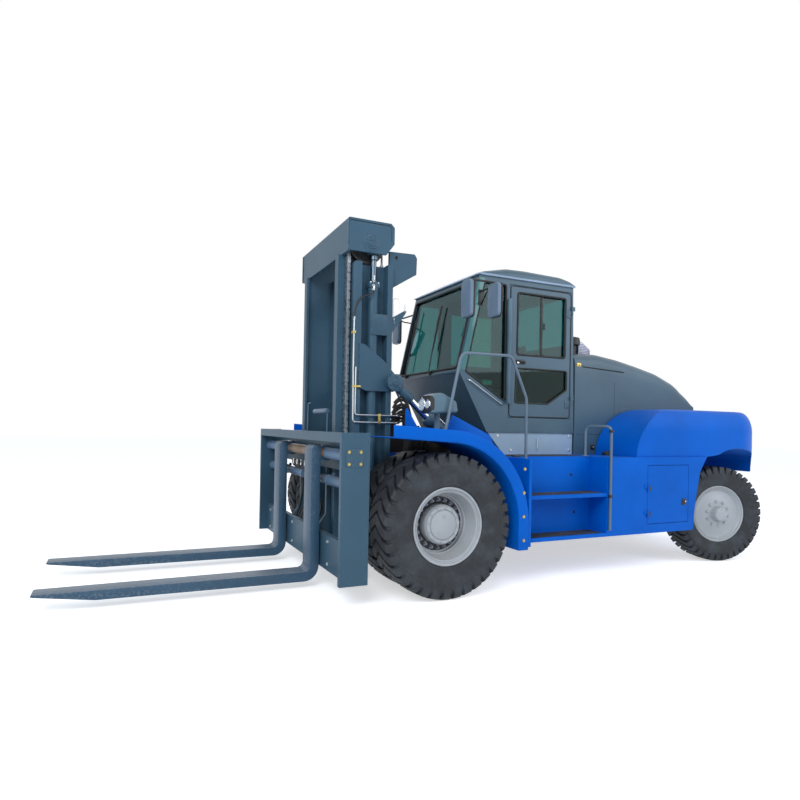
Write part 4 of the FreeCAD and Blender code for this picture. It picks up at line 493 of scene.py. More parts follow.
for side, hand in hands:
    low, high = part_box("drive_rim_" + hand)
    flange = (high.z - low.z) / 2 / rim_flat
    centre = Vector(((low.x + high.x) / 2, 0, (high.z + low.z) / 2))
    face = max(abs(low.y), abs(high.y))
    back = min(abs(low.y), abs(high.y))
    out = (0, side, 0)
    turn(grown, [
        (flange - 0.004, face - 0.016), (flange, face - 0.008), (flange - 0.004, face - 0.001),
        (flange - 0.014, face),
        (flange - 0.022, face - 0.006), (flange - 0.026, face - 0.022), (flange - 0.036, face - 0.026),
        (flange - 0.043, face - 0.02), (flange - 0.052, face - 0.026), (flange - 0.06, face - 0.06),
        (flange - 0.076, 1.44), (flange - 0.086, 1.42), (flange - 0.094, 1.416), (flange - 0.098, 1.386),
        (flange - 0.112, 1.38), (flange - 0.112, 1.34), (flange - 0.05, 1.32), (flange - 0.045, back + 0.03),
        (flange, back), (flange - 0.006, back + 0.12), (flange - 0.006, face - 0.1), (flange - 0.012, face - 0.024),
    ], centre, out, 96, True)
    rim = piece("drive_rim_dish_" + hand, "drive_wheel_" + hand, rim_silver, grown)
    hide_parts("drive_rim_" + hand)

    turn(grown, [
        (flange - 0.108, 1.345), (flange - 0.108, 1.378), (0.205, 1.384), (0.198, 1.378), (0.198, 1.345)],
        centre, out, 96, True)
    piece("drive_stud_ring_" + hand, "drive_wheel_" + hand, slots["black_plastic"], grown)

    for dx, dz in ring_of(20, 0.236):
        spot = centre + Vector((dx, side * 1.382, dz))
        bolt(grown, spot, out, 0.026, 0.02)
        turn(grown, [(0.008, 0.018), (0.008, 0.036), (0.006, 0.039), (0, 0.039)], spot, out, 10)
    piece("drive_wheel_nuts_" + hand, "drive_wheel_" + hand, slots["exhaust_steel"], grown)

    turn(grown, [
        (0.196, 1.37), (0.196, 1.462), (0.192, 1.472), (0.184, 1.476), (0.184, 1.488), (0.178, 1.494),
        (0.15, 1.495), (0.148, 1.489), (0.142, 1.489), (0.14, 1.497), (0.132, 1.502), (0.0, 1.503)],
        centre, out, 80)
    for dx, dz in ring_of(12, 0.165, 0.13):
        bolt(grown, centre + Vector((dx, side * 1.494, dz)), out, 0.017, 0.009, False)
    for dx, dz, size in ((0.0, 0.085, 0.014), (0.05, -0.07, 0.009)):
        bolt(grown, centre + Vector((dx, side * 1.501, dz)), out, size * 2, 0.008)
    piece("drive_hub_cover_" + hand, "drive_wheel_" + hand, rim_silver, grown)

    low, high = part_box("steer_rim_" + hand)
    flange = (high.z - low.z) / 2 / rim_flat
    centre = Vector((steer_x, 0, (high.z + low.z) / 2))
    face, back, disc, cap = 1.373, 1.107, 1.325, 1.43
    turn(grown, [
        (flange - 0.004, face - 0.016), (flange, face - 0.008), (flange - 0.004, face - 0.001),
        (flange - 0.012, face),
        (flange - 0.02, face - 0.006), (flange - 0.024, face - 0.018), (flange - 0.032, face - 0.022),
        (flange - 0.038, face - 0.016), (flange - 0.046, face - 0.022), (flange - 0.056, disc + 0.006),
        (flange - 0.066, disc), (0.222, disc + 0.004), (0.2, disc + 0.018), (0.118, disc + 0.022),
        (0.112, disc + 0.028),
        (0.104, disc + 0.028), (0.098, disc + 0.04), (0.092, cap - 0.02), (0.082, cap - 0.006), (0.06, cap - 0.001),
        (0.0, cap), ], centre, out, 96)
    turn(grown, [
        (0.07, back + 0.02), (0.19, back + 0.1), (flange - 0.066, disc - 0.012), (flange - 0.04, back + 0.02),
        (flange, back), (flange - 0.006, back + 0.1), (flange - 0.006, face - 0.05), (flange - 0.012, face - 0.024)],
        centre, out, 96)
    for dx, dz in ring_of(10, 0.155, 0.2):
        spot = centre + Vector((dx, side * (disc + 0.019), dz))
        turn(grown, [(0.024, 0.0), (0.022, 0.006), (0, 0.006)], spot, out, 16)
        bolt(grown, spot, out, 0.027, 0.022, False)
    for dx, dz in ring_of(6, 0.066, 0.4):
        bolt(grown, centre + Vector((dx, side * (cap - 0.003), dz)), out, 0.01, 0.006, False)
    bmesh.ops.transform(grown, matrix=around_kingpin(side), verts=grown.verts)
    rim = piece("steer_rim_disc_" + hand, "steer_wheel_" + hand, rim_silver, grown)
    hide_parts("steer_rim_" + hand)


# ---------------------------------------------------------------- engine hood
# The lid over the diesel is pressed and welded sheet sprayed graphite: long straight falls with soft
# bends between them and a wide rolled shoulder down each side. Its skin is 25 mm deep with its ribs.

def arc(x, z, radius, angles):
    """Points of a circle about a centre, at angles in degrees."""
    return [(x + radius * math.cos(math.radians(a)), z + radius * math.sin(math.radians(a))) for a in angles]


def height_on(line, x, soft):
    """Height of a bent line at x, its corners softened over a width."""
    total = 0.0
    for k in range(-3, 4):
        at = min(max(x + soft * k / 3, line[-1][0]), line[0][0])
        for (x0, z0), (x1, z1) in zip(line, line[1:]):
            if x1 <= at <= x0:
                total += z0 + (z1 - z0) * (at - x0) / (x1 - x0)
                break
    return total / 7


hood_low, hood_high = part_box("engine_hood")
hood_length = hood_high.x - hood_low.x
hood_fall = [(0.0, 0.64), (0.19, 0.66), (0.36, 0.615), (0.52, 0.55), (0.69, 0.47), (0.84, 0.35), (0.93, 0.21),
             (1.0, 0.02)]
hood_line = [(hood_high.x - share * hood_length, hood_low.z + rise) for share, rise in hood_fall]
hood_shoulder = 0.15


def hood_section(grown, x, inset):
    """One cross section of the hood's skin, from its left lower edge over the top to the right one."""
    top = max(height_on(hood_line, x, 0.05) - inset, hood_low.z + 0.004)
    drop = min(hood_shoulder, 0.6 * (top - hood_low.z))
    half = hood_high.y - inset
    side = [(half, hood_low.z), (half, top - drop - 0.2 * (top - drop - hood_low.z))]
    side += arc(half - drop, top - drop, drop, [90.0 * k / 8 for k in range(9)])
    outline = side + [(-y, z) for y, z in reversed(side)]
    return [grown.verts.new((x, y, z)) for y, z in outline]


skins = []
for inset in (0.0, 0.025):
    ends = (hood_low.x + inset * 1.6, hood_high.x - inset)
    rows = [hood_section(grown, ends[1] + (ends[0] - ends[1]) * k / 60, inset) for k in range(61)]
    skin(grown, rows, False, True)
    skins.append(rows)
outside, inside = skins
for one, two, three, four in zip(outside, outside[1:], inside, inside[1:]):
    grown.faces.new((one[0], two[0], four[0], three[0]))
    grown.faces.new((one[-1], two[-1], four[-1], three[-1]))
for rows in ((outside[0], inside[0]), (outside[-1], inside[-1])):
    grown.faces.new((rows[0][0], rows[0][-1], rows[1][-1], rows[1][0]))
hood = piece("hood_skin", "hood", graphite, grown, 40.0)
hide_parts("engine_hood")


# ---------------------------------------------------------------- hood and cowl fittings
# Side panels of the engine bay are let in flush, so only their 4 mm joints show. The lid has a striker
# in yellow zinc and a black strip of painted shadow under its shoulder down each side; a black catch with a bright
# key holds the bay.

def plate(grown, outline, axis, start, end, rounding=0.003, steps=2):
    """A plate: an outline across an axis drawn out from start to end, its edges rounded."""
    place = {"x": lambda a, b, c: (c, a, b), "y": lambda a, b, c: (a, c, b), "z": lambda a, b, c: (a, b, c)}[axis]
    ends = [[grown.verts.new(place(a, b, c)) for a, b in outline] for c in (start, end)]
    faces = [grown.faces.new(ends[0]), grown.faces.new(ends[1][::-1])]
    for k in range(len(outline)):
        n = (k + 1) % len(outline)
        faces.append(grown.faces.new((ends[0][n], ends[0][k], ends[1][k], ends[1][n])))
    bmesh.ops.recalc_face_normals(grown, faces=faces)
    if rounding:
        edges = list({edge for face in faces for edge in face.edges})
        bmesh.ops.bevel(grown, geom=edges, offset=rounding, segments=steps, profile=0.5, affect="EDGES",
                        clamp_overlap=True)


def block(grown, low, high, rounding=0.003):
    """A block between two corners, its edges rounded."""
    low, high = zip(*(sorted(pair) for pair in zip(low, high)))
    plate(grown, [(low[0], low[2]), (high[0], low[2]), (high[0], high[2]), (low[0], high[2])], "y", low[1], high[1],
          rounding)


def joint_line(grown, points, y, width=0.004):
    """A dark joint between flush panels, as a thin strip on a side wall."""
    for (x0, z0), (x1, z1) in zip(points, points[1:]):
        block(grown, (min(x0, x1) - width / 2, y - 0.0004, min(z0, z1) - width / 2),
              (max(x0, x1) + width / 2, y + 0.0006, max(z0, z1) + width / 2), 0.0)


shadow_black = moulded("black_joint_shadow", "0c0d0e", 0.85, dust=0.05)
yellow_zinc = metal("yellow_zinc_plated_steel", "c9b46a", 0.34, stain=0.25)
for side, hand in hands:
    wall = side * hood_high.y
    joint_line(grown, [(hood_high.x - 0.03, 1.59), (hood_high.x - 0.66, 1.59), (hood_high.x - 0.66, hood_low.z)],
               wall)
    joint_line(grown, [(hood_high.x - 0.16, 1.59), (hood_high.x - 0.16, 1.345)], wall)
    piece("bay_panel_joints_" + hand, "chassis", shadow_black, grown)

    # Painted shadow: a thin black strip down each side under the hood's shoulder, where the shoulder's shade falls;
    # the joint line below it is a real panel joint.
    shadow_strip_top = hood_high.z - hood_shoulder - 0.028
    plate(grown, [(hood_high.x - 0.1, shadow_strip_top), (hood_high.x - 0.13, shadow_strip_top - 0.016),
                  (hood_high.x - 0.8, shadow_strip_top - 0.05), (hood_high.x - 0.83, shadow_strip_top - 0.042),
                  (hood_high.x - 0.8, shadow_strip_top - 0.034)], "y", wall - side * 0.004, wall + side * 0.0012, 0.0)
    joint_line(grown, [(hood_high.x - 0.66, hood_low.z), (hood_high.x - 0.66, hood_low.z + 0.3)], wall)
    piece("hood_painted_shadow_strip_" + hand, "hood", shadow_black, grown)

    striker = Vector((hood_high.x - 0.055, wall, hood_high.z - 0.165))
    block(grown, striker + Vector((-0.035, -0.002 * side, -0.022)), striker + Vector((0.035, side * 0.006, 0.022)),
          0.003)
    turn(grown, [(0.013, 0.0), (0.013, 0.016), (0.009, 0.02), (0, 0.02)], striker + Vector((-0.014, 0, 0)),
         (0, side, 0),
         14)
    turn(grown, [(0.007, 0.0), (0.007, 0.012), (0, 0.012)], striker + Vector((0.02, 0, 0)), (0, side, 0), 10)
    piece("hood_striker_" + hand, "hood", yellow_zinc, grown)

    catch = Vector((hood_high.x - 0.3, wall, 1.43))
    block(grown, catch + Vector((-0.032, -0.002 * side, -0.03)), catch + Vector((0.032, side * 0.012, 0.03)), 0.004)
    turn(grown, [(0.019, 0.01), (0.019, 0.018), (0.014, 0.022), (0, 0.022)], catch, (0, side, 0), 18)
    piece("bay_catch_" + hand, "chassis", slots["black_plastic"], grown)
    turn(grown, [(0.01, 0.02), (0.01, 0.026), (0.006, 0.028), (0, 0.028)], catch, (0, side, 0), 14)
    piece("bay_catch_key_" + hand, "chassis", slots["chrome"], grown)


# ---------------------------------------------------------------- counterweight
# The tail weight is one iron casting, filled, ground smooth and sprayed blue. It is rounded in plan and
# crowned on top, arched over the steered wheels, pocketed for the engine, with a towing jaw below.

def cast(grown):
    """An object that only serves as a tool for cutting another."""
    bmesh.ops.recalc_face_normals(grown, faces=grown.faces)
    mesh = bpy.data.meshes.new("tool")
    grown.to_mesh(mesh)
    grown.clear()
    made = bpy.data.objects.new("tool", mesh)
    bpy.context.scene.collection.objects.link(made)
    return made


def carved(grown, tools):
    """A solid with other solids cut away from it."""
    body = cast(grown)
    cutters = [cast(tool) for tool in tools]
    for cutter in cutters:
        cut = body.modifiers.new("cut", "BOOLEAN")
        cut.operation = "DIFFERENCE"
        cut.solver = "EXACT"
        cut.object = cutter
    bpy.context.view_layer.update()
    evaluated = body.evaluated_get(bpy.context.evaluated_depsgraph_get())
    mesh = bpy.data.meshes.new_from_object(evaluated)
    result = bmesh.new()
    result.from_mesh(mesh)
    for made in [body] + cutters:
        bpy.data.objects.remove(made)
    bmesh.ops.dissolve_degenerate(result, dist=0.0002, edges=result.edges)
    return result


def flowing(points, steps=6):
    """Points along a smooth curve through given points."""
    ends = [points[0]] + list(points) + [points[-1]]
    line = []
    for a, b, c, d in zip(ends, ends[1:], ends[2:], ends[3:]):
        for k in range(steps):
            t = k / steps
            line.append(tuple(
                0.5 * (2 * q + (r - p) * t + (2 * p - 5 * q + 4 * r - s) * t * t + (3 * q - p - 3 * r + s) * t ** 3)
                for p, q, r, s in zip(a, b, c, d)))
    return line + [tuple(points[-1])]


tail_low, tail_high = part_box("counterweight")
deck_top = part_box("side_bodies")[1].z
tail_lip, tail_shoulder, tail_corner = 1.12, 1.64, 0.7
bay_half, bay_rear, bay_floor = 0.78, -3.62, 1.3
tail_half, tail_rear, tail_front = tail_high.y, tail_low.x, tail_high.x


def tail_plan(inset):
    """Outline of the casting in plan, drawn in by an inset."""
    corner = tail_corner - inset
    curve = arc(tail_rear + tail_corner, tail_half - tail_corner, corner, [90 + 90 * k / 24 for k in range(25)])
    return [(tail_front, tail_half - inset)] + curve + [(x, -y) for x, y in reversed(curve)] + [
        (tail_front, -tail_half + inset)]


tail_levels = [(0.01, tail_lip), (0.003, tail_lip + 0.003), (0.0, tail_lip + 0.01), (0.0, tail_shoulder)]
for k in range(1, 13):
    turned = math.radians(90 * k / 12)
    tail_levels.append((0.15 * (1 - math.cos(turned)),
                        tail_shoulder + (tail_high.z - tail_shoulder) * math.sin(turned)))
rows = [[grown.verts.new((x, y, z)) for x, y in tail_plan(inset)] for inset, z in tail_levels]
skin(grown, rows, True, True)

nose_radius = 0.7
over_nose = bmesh.new()
nose = [(tail_front - nose_radius + nose_radius * math.cos(math.radians(90 * k / 24)),
         deck_top + (tail_high.z - deck_top) * math.sin(math.radians(90 * k / 24))) for k in range(25)]
plate(over_nose, nose + [(nose[-1][0], tail_high.z + 0.3), (tail_front + 0.05, tail_high.z + 0.3),
                         (tail_front + 0.05, deck_top)], "y", -2.0, 2.0, 0.0)
arch = bmesh.new()
arch_rise = [(0.43, deck_top), (0.218, 1.361), (0.063, 1.415), (-0.096, 1.44), (-0.261, 1.437), (-0.45, 1.405),
             (-0.61, 1.362)]
arch_line = [(steer_x + x, z) for x, z in flowing(arch_rise, 5)]
arch_line += [(steer_x - 0.655, 1.34), (steer_x - 0.69, 1.28), (steer_x - 0.715, 1.19), (steer_x - 0.725, 1.05)]
plate(arch, [(tail_front + 0.05, 1.05), (tail_front + 0.05, deck_top)] + arch_line, "y", -2.0, 2.0, 0.0)
bay = bmesh.new()
block(bay, (bay_rear, -bay_half, bay_floor), (tail_front + 0.05, bay_half, tail_high.z + 0.2), 0.0)
tail = piece("counterweight_casting", "chassis", body_blue, carved(grown, [over_nose, arch, bay]), 38.0)
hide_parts("counterweight")

keel_half, keel_rear, keel_front = 0.44, tail_rear + 0.02, -3.79
jaw_z, jaw_gap, jaw_half, jaw_depth = 0.76, 0.12, 0.11, 0.24
keel = bmesh.new()
block(keel, (keel_rear, -keel_half, tail_low.z), (keel_front, keel_half, 1.46), 0.012)
pocket = bmesh.new()
block(pocket, (keel_rear - 0.1, -jaw_half, jaw_z - jaw_gap / 2),
      (keel_rear + jaw_depth, jaw_half, jaw_z + jaw_gap / 2), 0.0)
pin_hole = bmesh.new()
turn(pin_hole, [(0, -0.2), (0.026, -0.2), (0.026, 0.2), (0, 0.2)], (keel_rear + jaw_depth / 2, 0, jaw_z), (0, 0, 1),
     32)
jaw = piece("counterweight_keel_and_jaw", "chassis", body_blue, carved(keel, [pocket, pin_hole]), 30.0)
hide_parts("counterweight")
saddle = bmesh.new()
block(saddle, (bay_rear, -0.45, bay_floor), (tail_rear + 0.15, 0.45, 1.46), 0.006)
piece("counterweight_saddle", "chassis", axle_black, saddle)


# ---------------------------------------------------------------- tail fittings
# Red and amber lamps are let into the back of the casting, with the radiator's slatted outlet
# between them, and the two lifting eyes on top are closed with black plugs.

red_lens = moulded("red_lamp_acrylic_moulded", "8e1512", 0.16, dust=0.05)
amber_lens = moulded("amber_lamp_acrylic_moulded", "b8650f", 0.16, dust=0.05)
block(grown, (tail_rear - 0.001, -0.44, 1.5), (tail_rear + 0.03, 0.44, 1.78), 0.006)
piece("radiator_outlet_frame", "chassis", slots["black_plastic"], grown)
for k in range(9):
    z = 1.52 + 0.028 * k
    plate(grown, [(tail_rear - 0.004, z), (tail_rear - 0.003, z + 0.004), (tail_rear + 0.008, z + 0.016),
                  (tail_rear + 0.007, z + 0.01)], "y", -0.42, 0.42, 0.0)
piece("radiator_outlet_slats", "chassis", graphite, grown)
for side, hand in hands:
    block(grown, (tail_rear - 0.003, side * 0.52, 1.56), (tail_rear + 0.02, side * 0.69, 1.72), 0.008)
    piece("tail_lamp_bezel_" + hand, "chassis", slots["black_plastic"], grown)
    for colour, z, acrylic in (("red_", 1.645, red_lens), ("amber_", 1.57, amber_lens)):
        block(grown, (tail_rear - 0.008, side * 0.53, z), (tail_rear + 0.01, side * 0.68, z + 0.065), 0.01)
        piece("tail_lamp_" + colour + hand, "chassis", acrylic, grown)
    turn(grown, [(0.048, 0.0), (0.048, 0.003), (0.04, 0.007), (0, 0.007)],
         (tail_rear + 0.62, side * 0.62, tail_high.z - 0.0035), (0, 0, 1), 24)
    piece("lifting_eye_plug_" + hand, "chassis", slots["black_plastic"], grown)


# ---------------------------------------------------------------- front fenders
# Each front fender is 12 mm sheet rolled round the twin tyres, with an upright lip welded along its
# outer edge and a gusset to the cab's deck; bolts show where the sheet meets the step's front plate.

fender_low, fender_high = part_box("front_fenders")
axle_x, axle_z = 0.82, 0.7
fender_radius, fender_sheet = 0.8, 0.012
fender_lip = -fender_low.x + axle_x - fender_radius


def fender_ring(radius, crest=93.0):
    """Side view of the rolled sheet at one radius: tip, arc over the tyre and straight drop."""
    points = [(fender_high.x, axle_z + radius + 0.05 - fender_sheet)]
    points += arc(axle_x, axle_z, radius, [crest + (180.0 - crest) * k / 40 for k in range(41)])
    return points + [(axle_x - radius, fender_low.z)]


def band(grown, inner, outer, y0, y1, rounding):
    """A bent strip between two radii, from y0 to y1."""
    lines = [fender_ring(inner), fender_ring(outer)]
    corners = [[[grown.verts.new((x, y, z)) for x, z in line] for line in lines] for y in (y0, y1)]
    count = len(lines[0])
    faces = []
    for k in range(count - 1):
        (a, b), (c, d) = corners
        faces += [grown.faces.new((a[k], a[k + 1], b[k + 1], b[k])),
                  grown.faces.new((c[k], d[k], d[k + 1], c[k + 1])),
                  grown.faces.new((a[k], c[k], c[k + 1], a[k + 1])),
                  grown.faces.new((b[k], b[k + 1], d[k + 1], d[k]))]
    for k in (0, count - 1):
        (a, b), (c, d) = corners
        faces.append(grown.faces.new((a[k], b[k], d[k], c[k])))
    bmesh.ops.recalc_face_normals(grown, faces=faces)
    edges = [edge for edge in {edge for face in faces for edge in face.edges} if edge.calc_face_angle(0.0) > 0.8]
    bmesh.ops.bevel(grown, geom=edges, offset=rounding, segments=3, profile=0.5, affect="EDGES", clamp_overlap=True)


for side, hand in hands:
    outer_y = side * fender_high.y
    band(grown, fender_radius, fender_radius + fender_sheet, side * 0.94, outer_y - side * 0.004, 0.003)
    band(grown, fender_radius + fender_sheet / 2, fender_radius + fender_lip, outer_y - side * fender_sheet, outer_y,
         0.005)
    gusset = arc(axle_x, axle_z, fender_radius + fender_sheet / 2, [98.0 + 60.0 * k / 24 for k in range(25)])
    gusset += [(-0.02, 1.34), (0.09, 1.57), (0.56, 1.775)]
    plate(grown, gusset, "y", side * 1.19, side * 1.202, 0.0025)
    fender = piece("front_fender_rolled_" + hand, "chassis", body_blue, grown)
    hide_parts("front_fenders")

    for x, z in ((-0.04, 1.24), (-0.035, 1.0), (-0.035, 0.76), (-0.04, 0.52)):
        bolt(grown, (x, outer_y - side * 0.001, z), (0, side, 0), 0.022, 0.012)
    for x, z in arc(axle_x, axle_z, 0.86, [104.0 + 14.0 * k for k in range(4)]):
        bolt(grown, (x, side * 1.2015, z), (0, side, 0), 0.02, 0.01)
    piece("front_fender_bolts_" + hand, "chassis", yellow_zinc, grown)


# ---------------------------------------------------------------- steps and skirts
# Folded tread plates with raised dots and black grip mats climb to the deck; the skirt behind them
# carries a door with black hinges and a square black lock. All are sprayed blue with the frame.

grip_mat = moulded("black_grip_mat_bonded_grit", "23272c", 0.88, grain=900.0, depth=0.0012, dust=0.18)
door_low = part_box("service_door")[0]
step_face, step_tops = 1.45, (0.49, 0.94)             # outer side of steps and skirts, and the two treads
for side, hand in hands:
    for z in step_tops:
        block(grown, (-1.29, side * 1.2, z), (-0.18, side * (step_face - 0.03), z + 0.003), 0.001)
    block(grown, (-1.29, side * 0.8, deck_top), (-0.16, side * 1.16, deck_top + 0.003), 0.001)
    piece("step_grip_mats_" + hand, "chassis", grip_mat, grown)

    for z in step_tops:
        for k in range(22):
            x = -1.27 + 1.07 * k / 21
            turn(grown, [(0.007, 0.0), (0.005, 0.003), (0, 0.0035)], (x, side * (step_face - 0.016), z - 0.0005),
                 (0, 0, 1), 10)
    piece("step_edge_dots_" + hand, "chassis", body_blue, grown)

    for x, z in ((-1.1, 0.7), (-0.42, 1.13), (-1.05, 1.13)):
        turn(grown, [(0.016, 0.0), (0.016, 0.0015), (0.012, 0.002), (0, 0.002)], (x, side * 1.18, z), (0, side, 0),
             18)
    piece("riser_hole_plugs_" + hand, "chassis", shadow_black, grown)

for z in (0.672, 0.972):
    block(grown, (-2.005, step_face - 0.001, z - 0.026), (-1.965, step_face + 0.0085, z + 0.03), 0.002)
piece("service_door_hinge_leaves", "service_door", slots["black_plastic"], grown)
lock = Vector((door_low.x + 0.07, step_face, 0.8))
block(grown, lock + Vector((-0.038, -0.002, -0.038)), lock + Vector((0.038, 0.007, 0.038)), 0.006)
turn(grown, [(0.026, 0.005), (0.026, 0.011), (0.022, 0.014), (0, 0.014)], lock, (0, 1, 0), 24)
piece("service_door_lock", "service_door", slots["black_plastic"], grown)
turn(grown, [(0.009, 0.012), (0.009, 0.017), (0, 0.018)], lock + Vector((-0.01, 0, 0.006)), (0, 1, 0), 14)
piece("service_door_key", "service_door", slots["chrome"], grown)


# ---------------------------------------------------------------- handrails
# The rails by the steps are 31 mm steel tube bent cold, welded to round feet and bolted down, and
# powder coated grey. Two black rubber clips sit on the upright of each deck rail.

def tube(grown, route, radius, bend=0.0, sides=14, loop=False):
    """A round tube along a route of straight runs, its corners bent to a radius."""
    route = [Vector(point) for point in route]
    line = []
    for k, point in enumerate(route):
        before, after = route[k - 1], route[(k + 1) % len(route)]
        if bend == 0.0 or (not loop and k in (0, len(route) - 1)):
            line.append(point)
            continue
        into, out = (point - before).normalized(), (after - point).normalized()
        turned = into.angle(out, 0.0)
        cut = min(bend * math.tan(turned / 2), 0.45 * (point - before).length, 0.45 * (after - point).length)
        for j in range(7):
            t = j / 6
            line.append((point - into * cut).lerp(point, t).lerp(point.lerp(point + out * cut, t), t))
    count = len(line)
    rings = []
    side = None
    for k, point in enumerate(line):
        ahead = line[(k + 1) % count] if loop else line[min(k + 1, count - 1)]
        behind = line[k - 1] if loop or k else line[0]
        along = (ahead - behind).normalized()
        if side is None:
            side = along.orthogonal().normalized()
        side = (side - along * side.dot(along)).normalized()
        across = along.cross(side)
        rings.append([grown.verts.new(point + side * a + across * b) for a, b in ring_of(sides, radius)])
    pairs = list(zip(rings, rings[1:]))
    if loop:
        first = min(range(sides), key=lambda j: (rings[0][j].co - rings[-1][0].co).length)
        pairs.append((rings[-1], rings[0][first:] + rings[0][:first]))
    for pair in pairs:
        skin(grown, pair)
    if not loop:
        grown.faces.new(rings[0])
        grown.faces.new(rings[-1])


rail_radius = 0.0155
post_x, post_y = -1.36, 1.4673                        # the upright of the deck's rail
for side, hand in hands:
    step_rail = [(0.84, 1.5, 1.52), (0.65, 1.5, 2.38), (0.03, 1.47, 2.39), (-0.19, 1.44, 1.96),
                 (-0.215, 1.42, 0.9405)]
    deck_rail = [(post_x, post_y, 0.52), (post_x, post_y, 1.69), (-1.27, 1.165, 1.69), (-1.27, 1.165, 1.34)]
    tube(grown, [(x, side * y, z) for x, y, z in step_rail], rail_radius, 0.11)
    tube(grown, [(x, side * y, z) for x, y, z in deck_rail], rail_radius, 0.075)
    for x, y, z in ((0.837, 1.5, 1.522), (-0.215, 1.42, 0.941), (-1.27, 1.165, 1.341)):
        turn(grown, [(0.04, 0.0), (0.04, 0.005), (0.036, 0.007), (0.02, 0.008), (0.0175, 0.016)],
             (x, side * y, z), (0, 0, 1), 24)
        for dx, dy in ring_of(3, 0.03, 0.5):
            bolt(grown, (x + dx, side * y + dy, z + 0.006), (0, 0, 1), 0.01, 0.006, False)
    for z in (0.62, 1.18):
        turn(grown, [(0.01, 0.0), (0.01, 0.02), (0, 0.02)], (post_x, side * 1.448, z), (0, side, 0), 12)
    rails = piece("handrails_" + hand, "chassis", rail_grey, grown)
    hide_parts("handrails")

    for z in (1.636, 0.905):
        turn(grown, [(0.0165, -0.016), (0.0235, -0.016), (0.0235, 0.016), (0.0165, 0.016)],
             (post_x, side * post_y, z),
             (0, 0, 1), 20, True)
        block(grown, (-1.392, side * 1.46, z - 0.012), (-1.372, side * 1.476, z + 0.012), 0.002)
    piece("handrail_clips_" + hand, "chassis", slots["black_plastic"], grown)


# ---------------------------------------------------------------- lift chains and sheaves
# Two leaf chains, stamped steel plates in four-and-three lacing on riveted pins, run from the carriage
# over iron sheaves under the top beam to anchor rods on the mast's crown. They are black with oil.

chain_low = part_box("lift_chains")[0]
sheave_x, sheave_z, chain_y = 1.335, 3.555, 0.64
chain_x = 1.53
chain_pitch, plate_gap, plate_thick, plate_radius, plate_waist = 0.0484, 0.0112, 0.0096, 0.0205, 0.015


def chain(grown, pins, y, first=0):
    """A leaf chain whose pins stand at points (x, z): plates laced in turn, and a riveted pin in each."""
    for k, ((x0, z0), (x1, z1)) in enumerate(zip(pins, pins[1:])):
        heading = math.atan2(z1 - z0, x1 - x0)
        outline = []
        for x, z, angles in ((x1, z1, (-115, -70, -35, 0, 35, 70, 115)),
                             (x0, z0, (65, 110, 145, 180, 215, 250, 295))):
            outline += [(x + plate_radius * math.cos(heading + math.radians(angle)),
                         z + plate_radius * math.sin(heading + math.radians(angle))) for angle in angles]
            waist = heading + math.radians(90 if angles[0] < 0 else 270)
            outline.append(((x0 + x1) / 2 + plate_waist * math.cos(waist),
                            (z0 + z1) / 2 + plate_waist * math.sin(waist)))
        for layer in ((0, 2, 4, 6), (1, 3, 5))[(k + first) % 2]:
            start = y - 0.0384 + plate_gap * layer
            plate(grown, outline, "y", start, start + plate_thick, 0.0)
    for x, z in pins:
        turn(grown, [(0, -0.0398), (0.008, -0.0398), (0.009, -0.0386), (0.009, 0.0386), (0.008, 0.0398), (0, 0.0398)],
             (x, y, z), (0, 1, 0), 10)


chain_radius = chain_x - sheave_x
run_links = round((sheave_z - chain_low.z - 0.02) / chain_pitch)
wrap_links = 13
for side, hand in hands:
    chain(grown, [(chain_x, chain_low.z + 0.02 + (sheave_z - chain_low.z - 0.02) * k / run_links)
                  for k in range(run_links + 1)], side * chain_y)
    block(grown, (chain_x - 0.016, side * chain_y - 0.03, chain_low.z - 0.01),
          (chain_x + 0.016, side * chain_y + 0.03, chain_low.z + 0.01), 0.002)
    run = piece("lift_chain_run_" + hand, "carriage", slots["chain_steel"], grown)
    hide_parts("lift_chains")
    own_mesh(run)

    wrap = [(sheave_x + chain_radius * math.cos(math.pi * k / wrap_links),
             sheave_z + chain_radius * math.sin(math.pi * k / wrap_links)) for k in range(wrap_links + 1)]
    wrap += [(wrap[-1][0], sheave_z - chain_pitch)]
    chain(grown, wrap, side * chain_y, run_links % 2)
    over = piece("lift_chain_over_sheave_" + hand, "mast_inner", slots["chain_steel"], grown)

    rod_x = sheave_x - chain_radius
    turn(grown, [(0, 3.352), (0.02, 3.352), (0.02, 3.372), (0.0115, 3.374), (0.0115, 3.495), (0.017, 3.497),
                 (0.017, 3.515), (0, 3.515)], (rod_x, side * chain_y, 0), (0, 0, 1), 16)
    rod = piece("chain_anchor_rod_" + hand, None, slots["chain_steel"], grown)
    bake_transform(rod)

    turn(grown, [
        (0.055, -0.04), (0.075, -0.04), (0.078, -0.034), (0.078, -0.016), (0.16, -0.014), (0.16, -0.036),
        (0.166, -0.0432), (0.194, -0.0432), (0.198, -0.0418), (0.194, -0.0402), (0.1735, -0.04), (0.1735, 0.04),
        (0.194, 0.0402), (0.198, 0.0418), (0.194, 0.0432), (0.166, 0.0432), (0.16, 0.036), (0.16, 0.014),
        (0.078, 0.016), (0.078, 0.034), (0.075, 0.04), (0.055, 0.04)],
        (sheave_x, side * chain_y, sheave_z), (0, 1, 0), 72, True)
    sheave = piece("chain_sheave_" + hand, "mast_inner", axle_black, grown)
    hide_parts("sheaves")


# ---------------------------------------------------------------- lift cylinders
# Two single-acting rams stand in the mast's channels: cold-drawn barrels sprayed with the mast, ground
# and chromed rods, square gland heads with bolts, and zinc pipe elbows where the oil comes in.

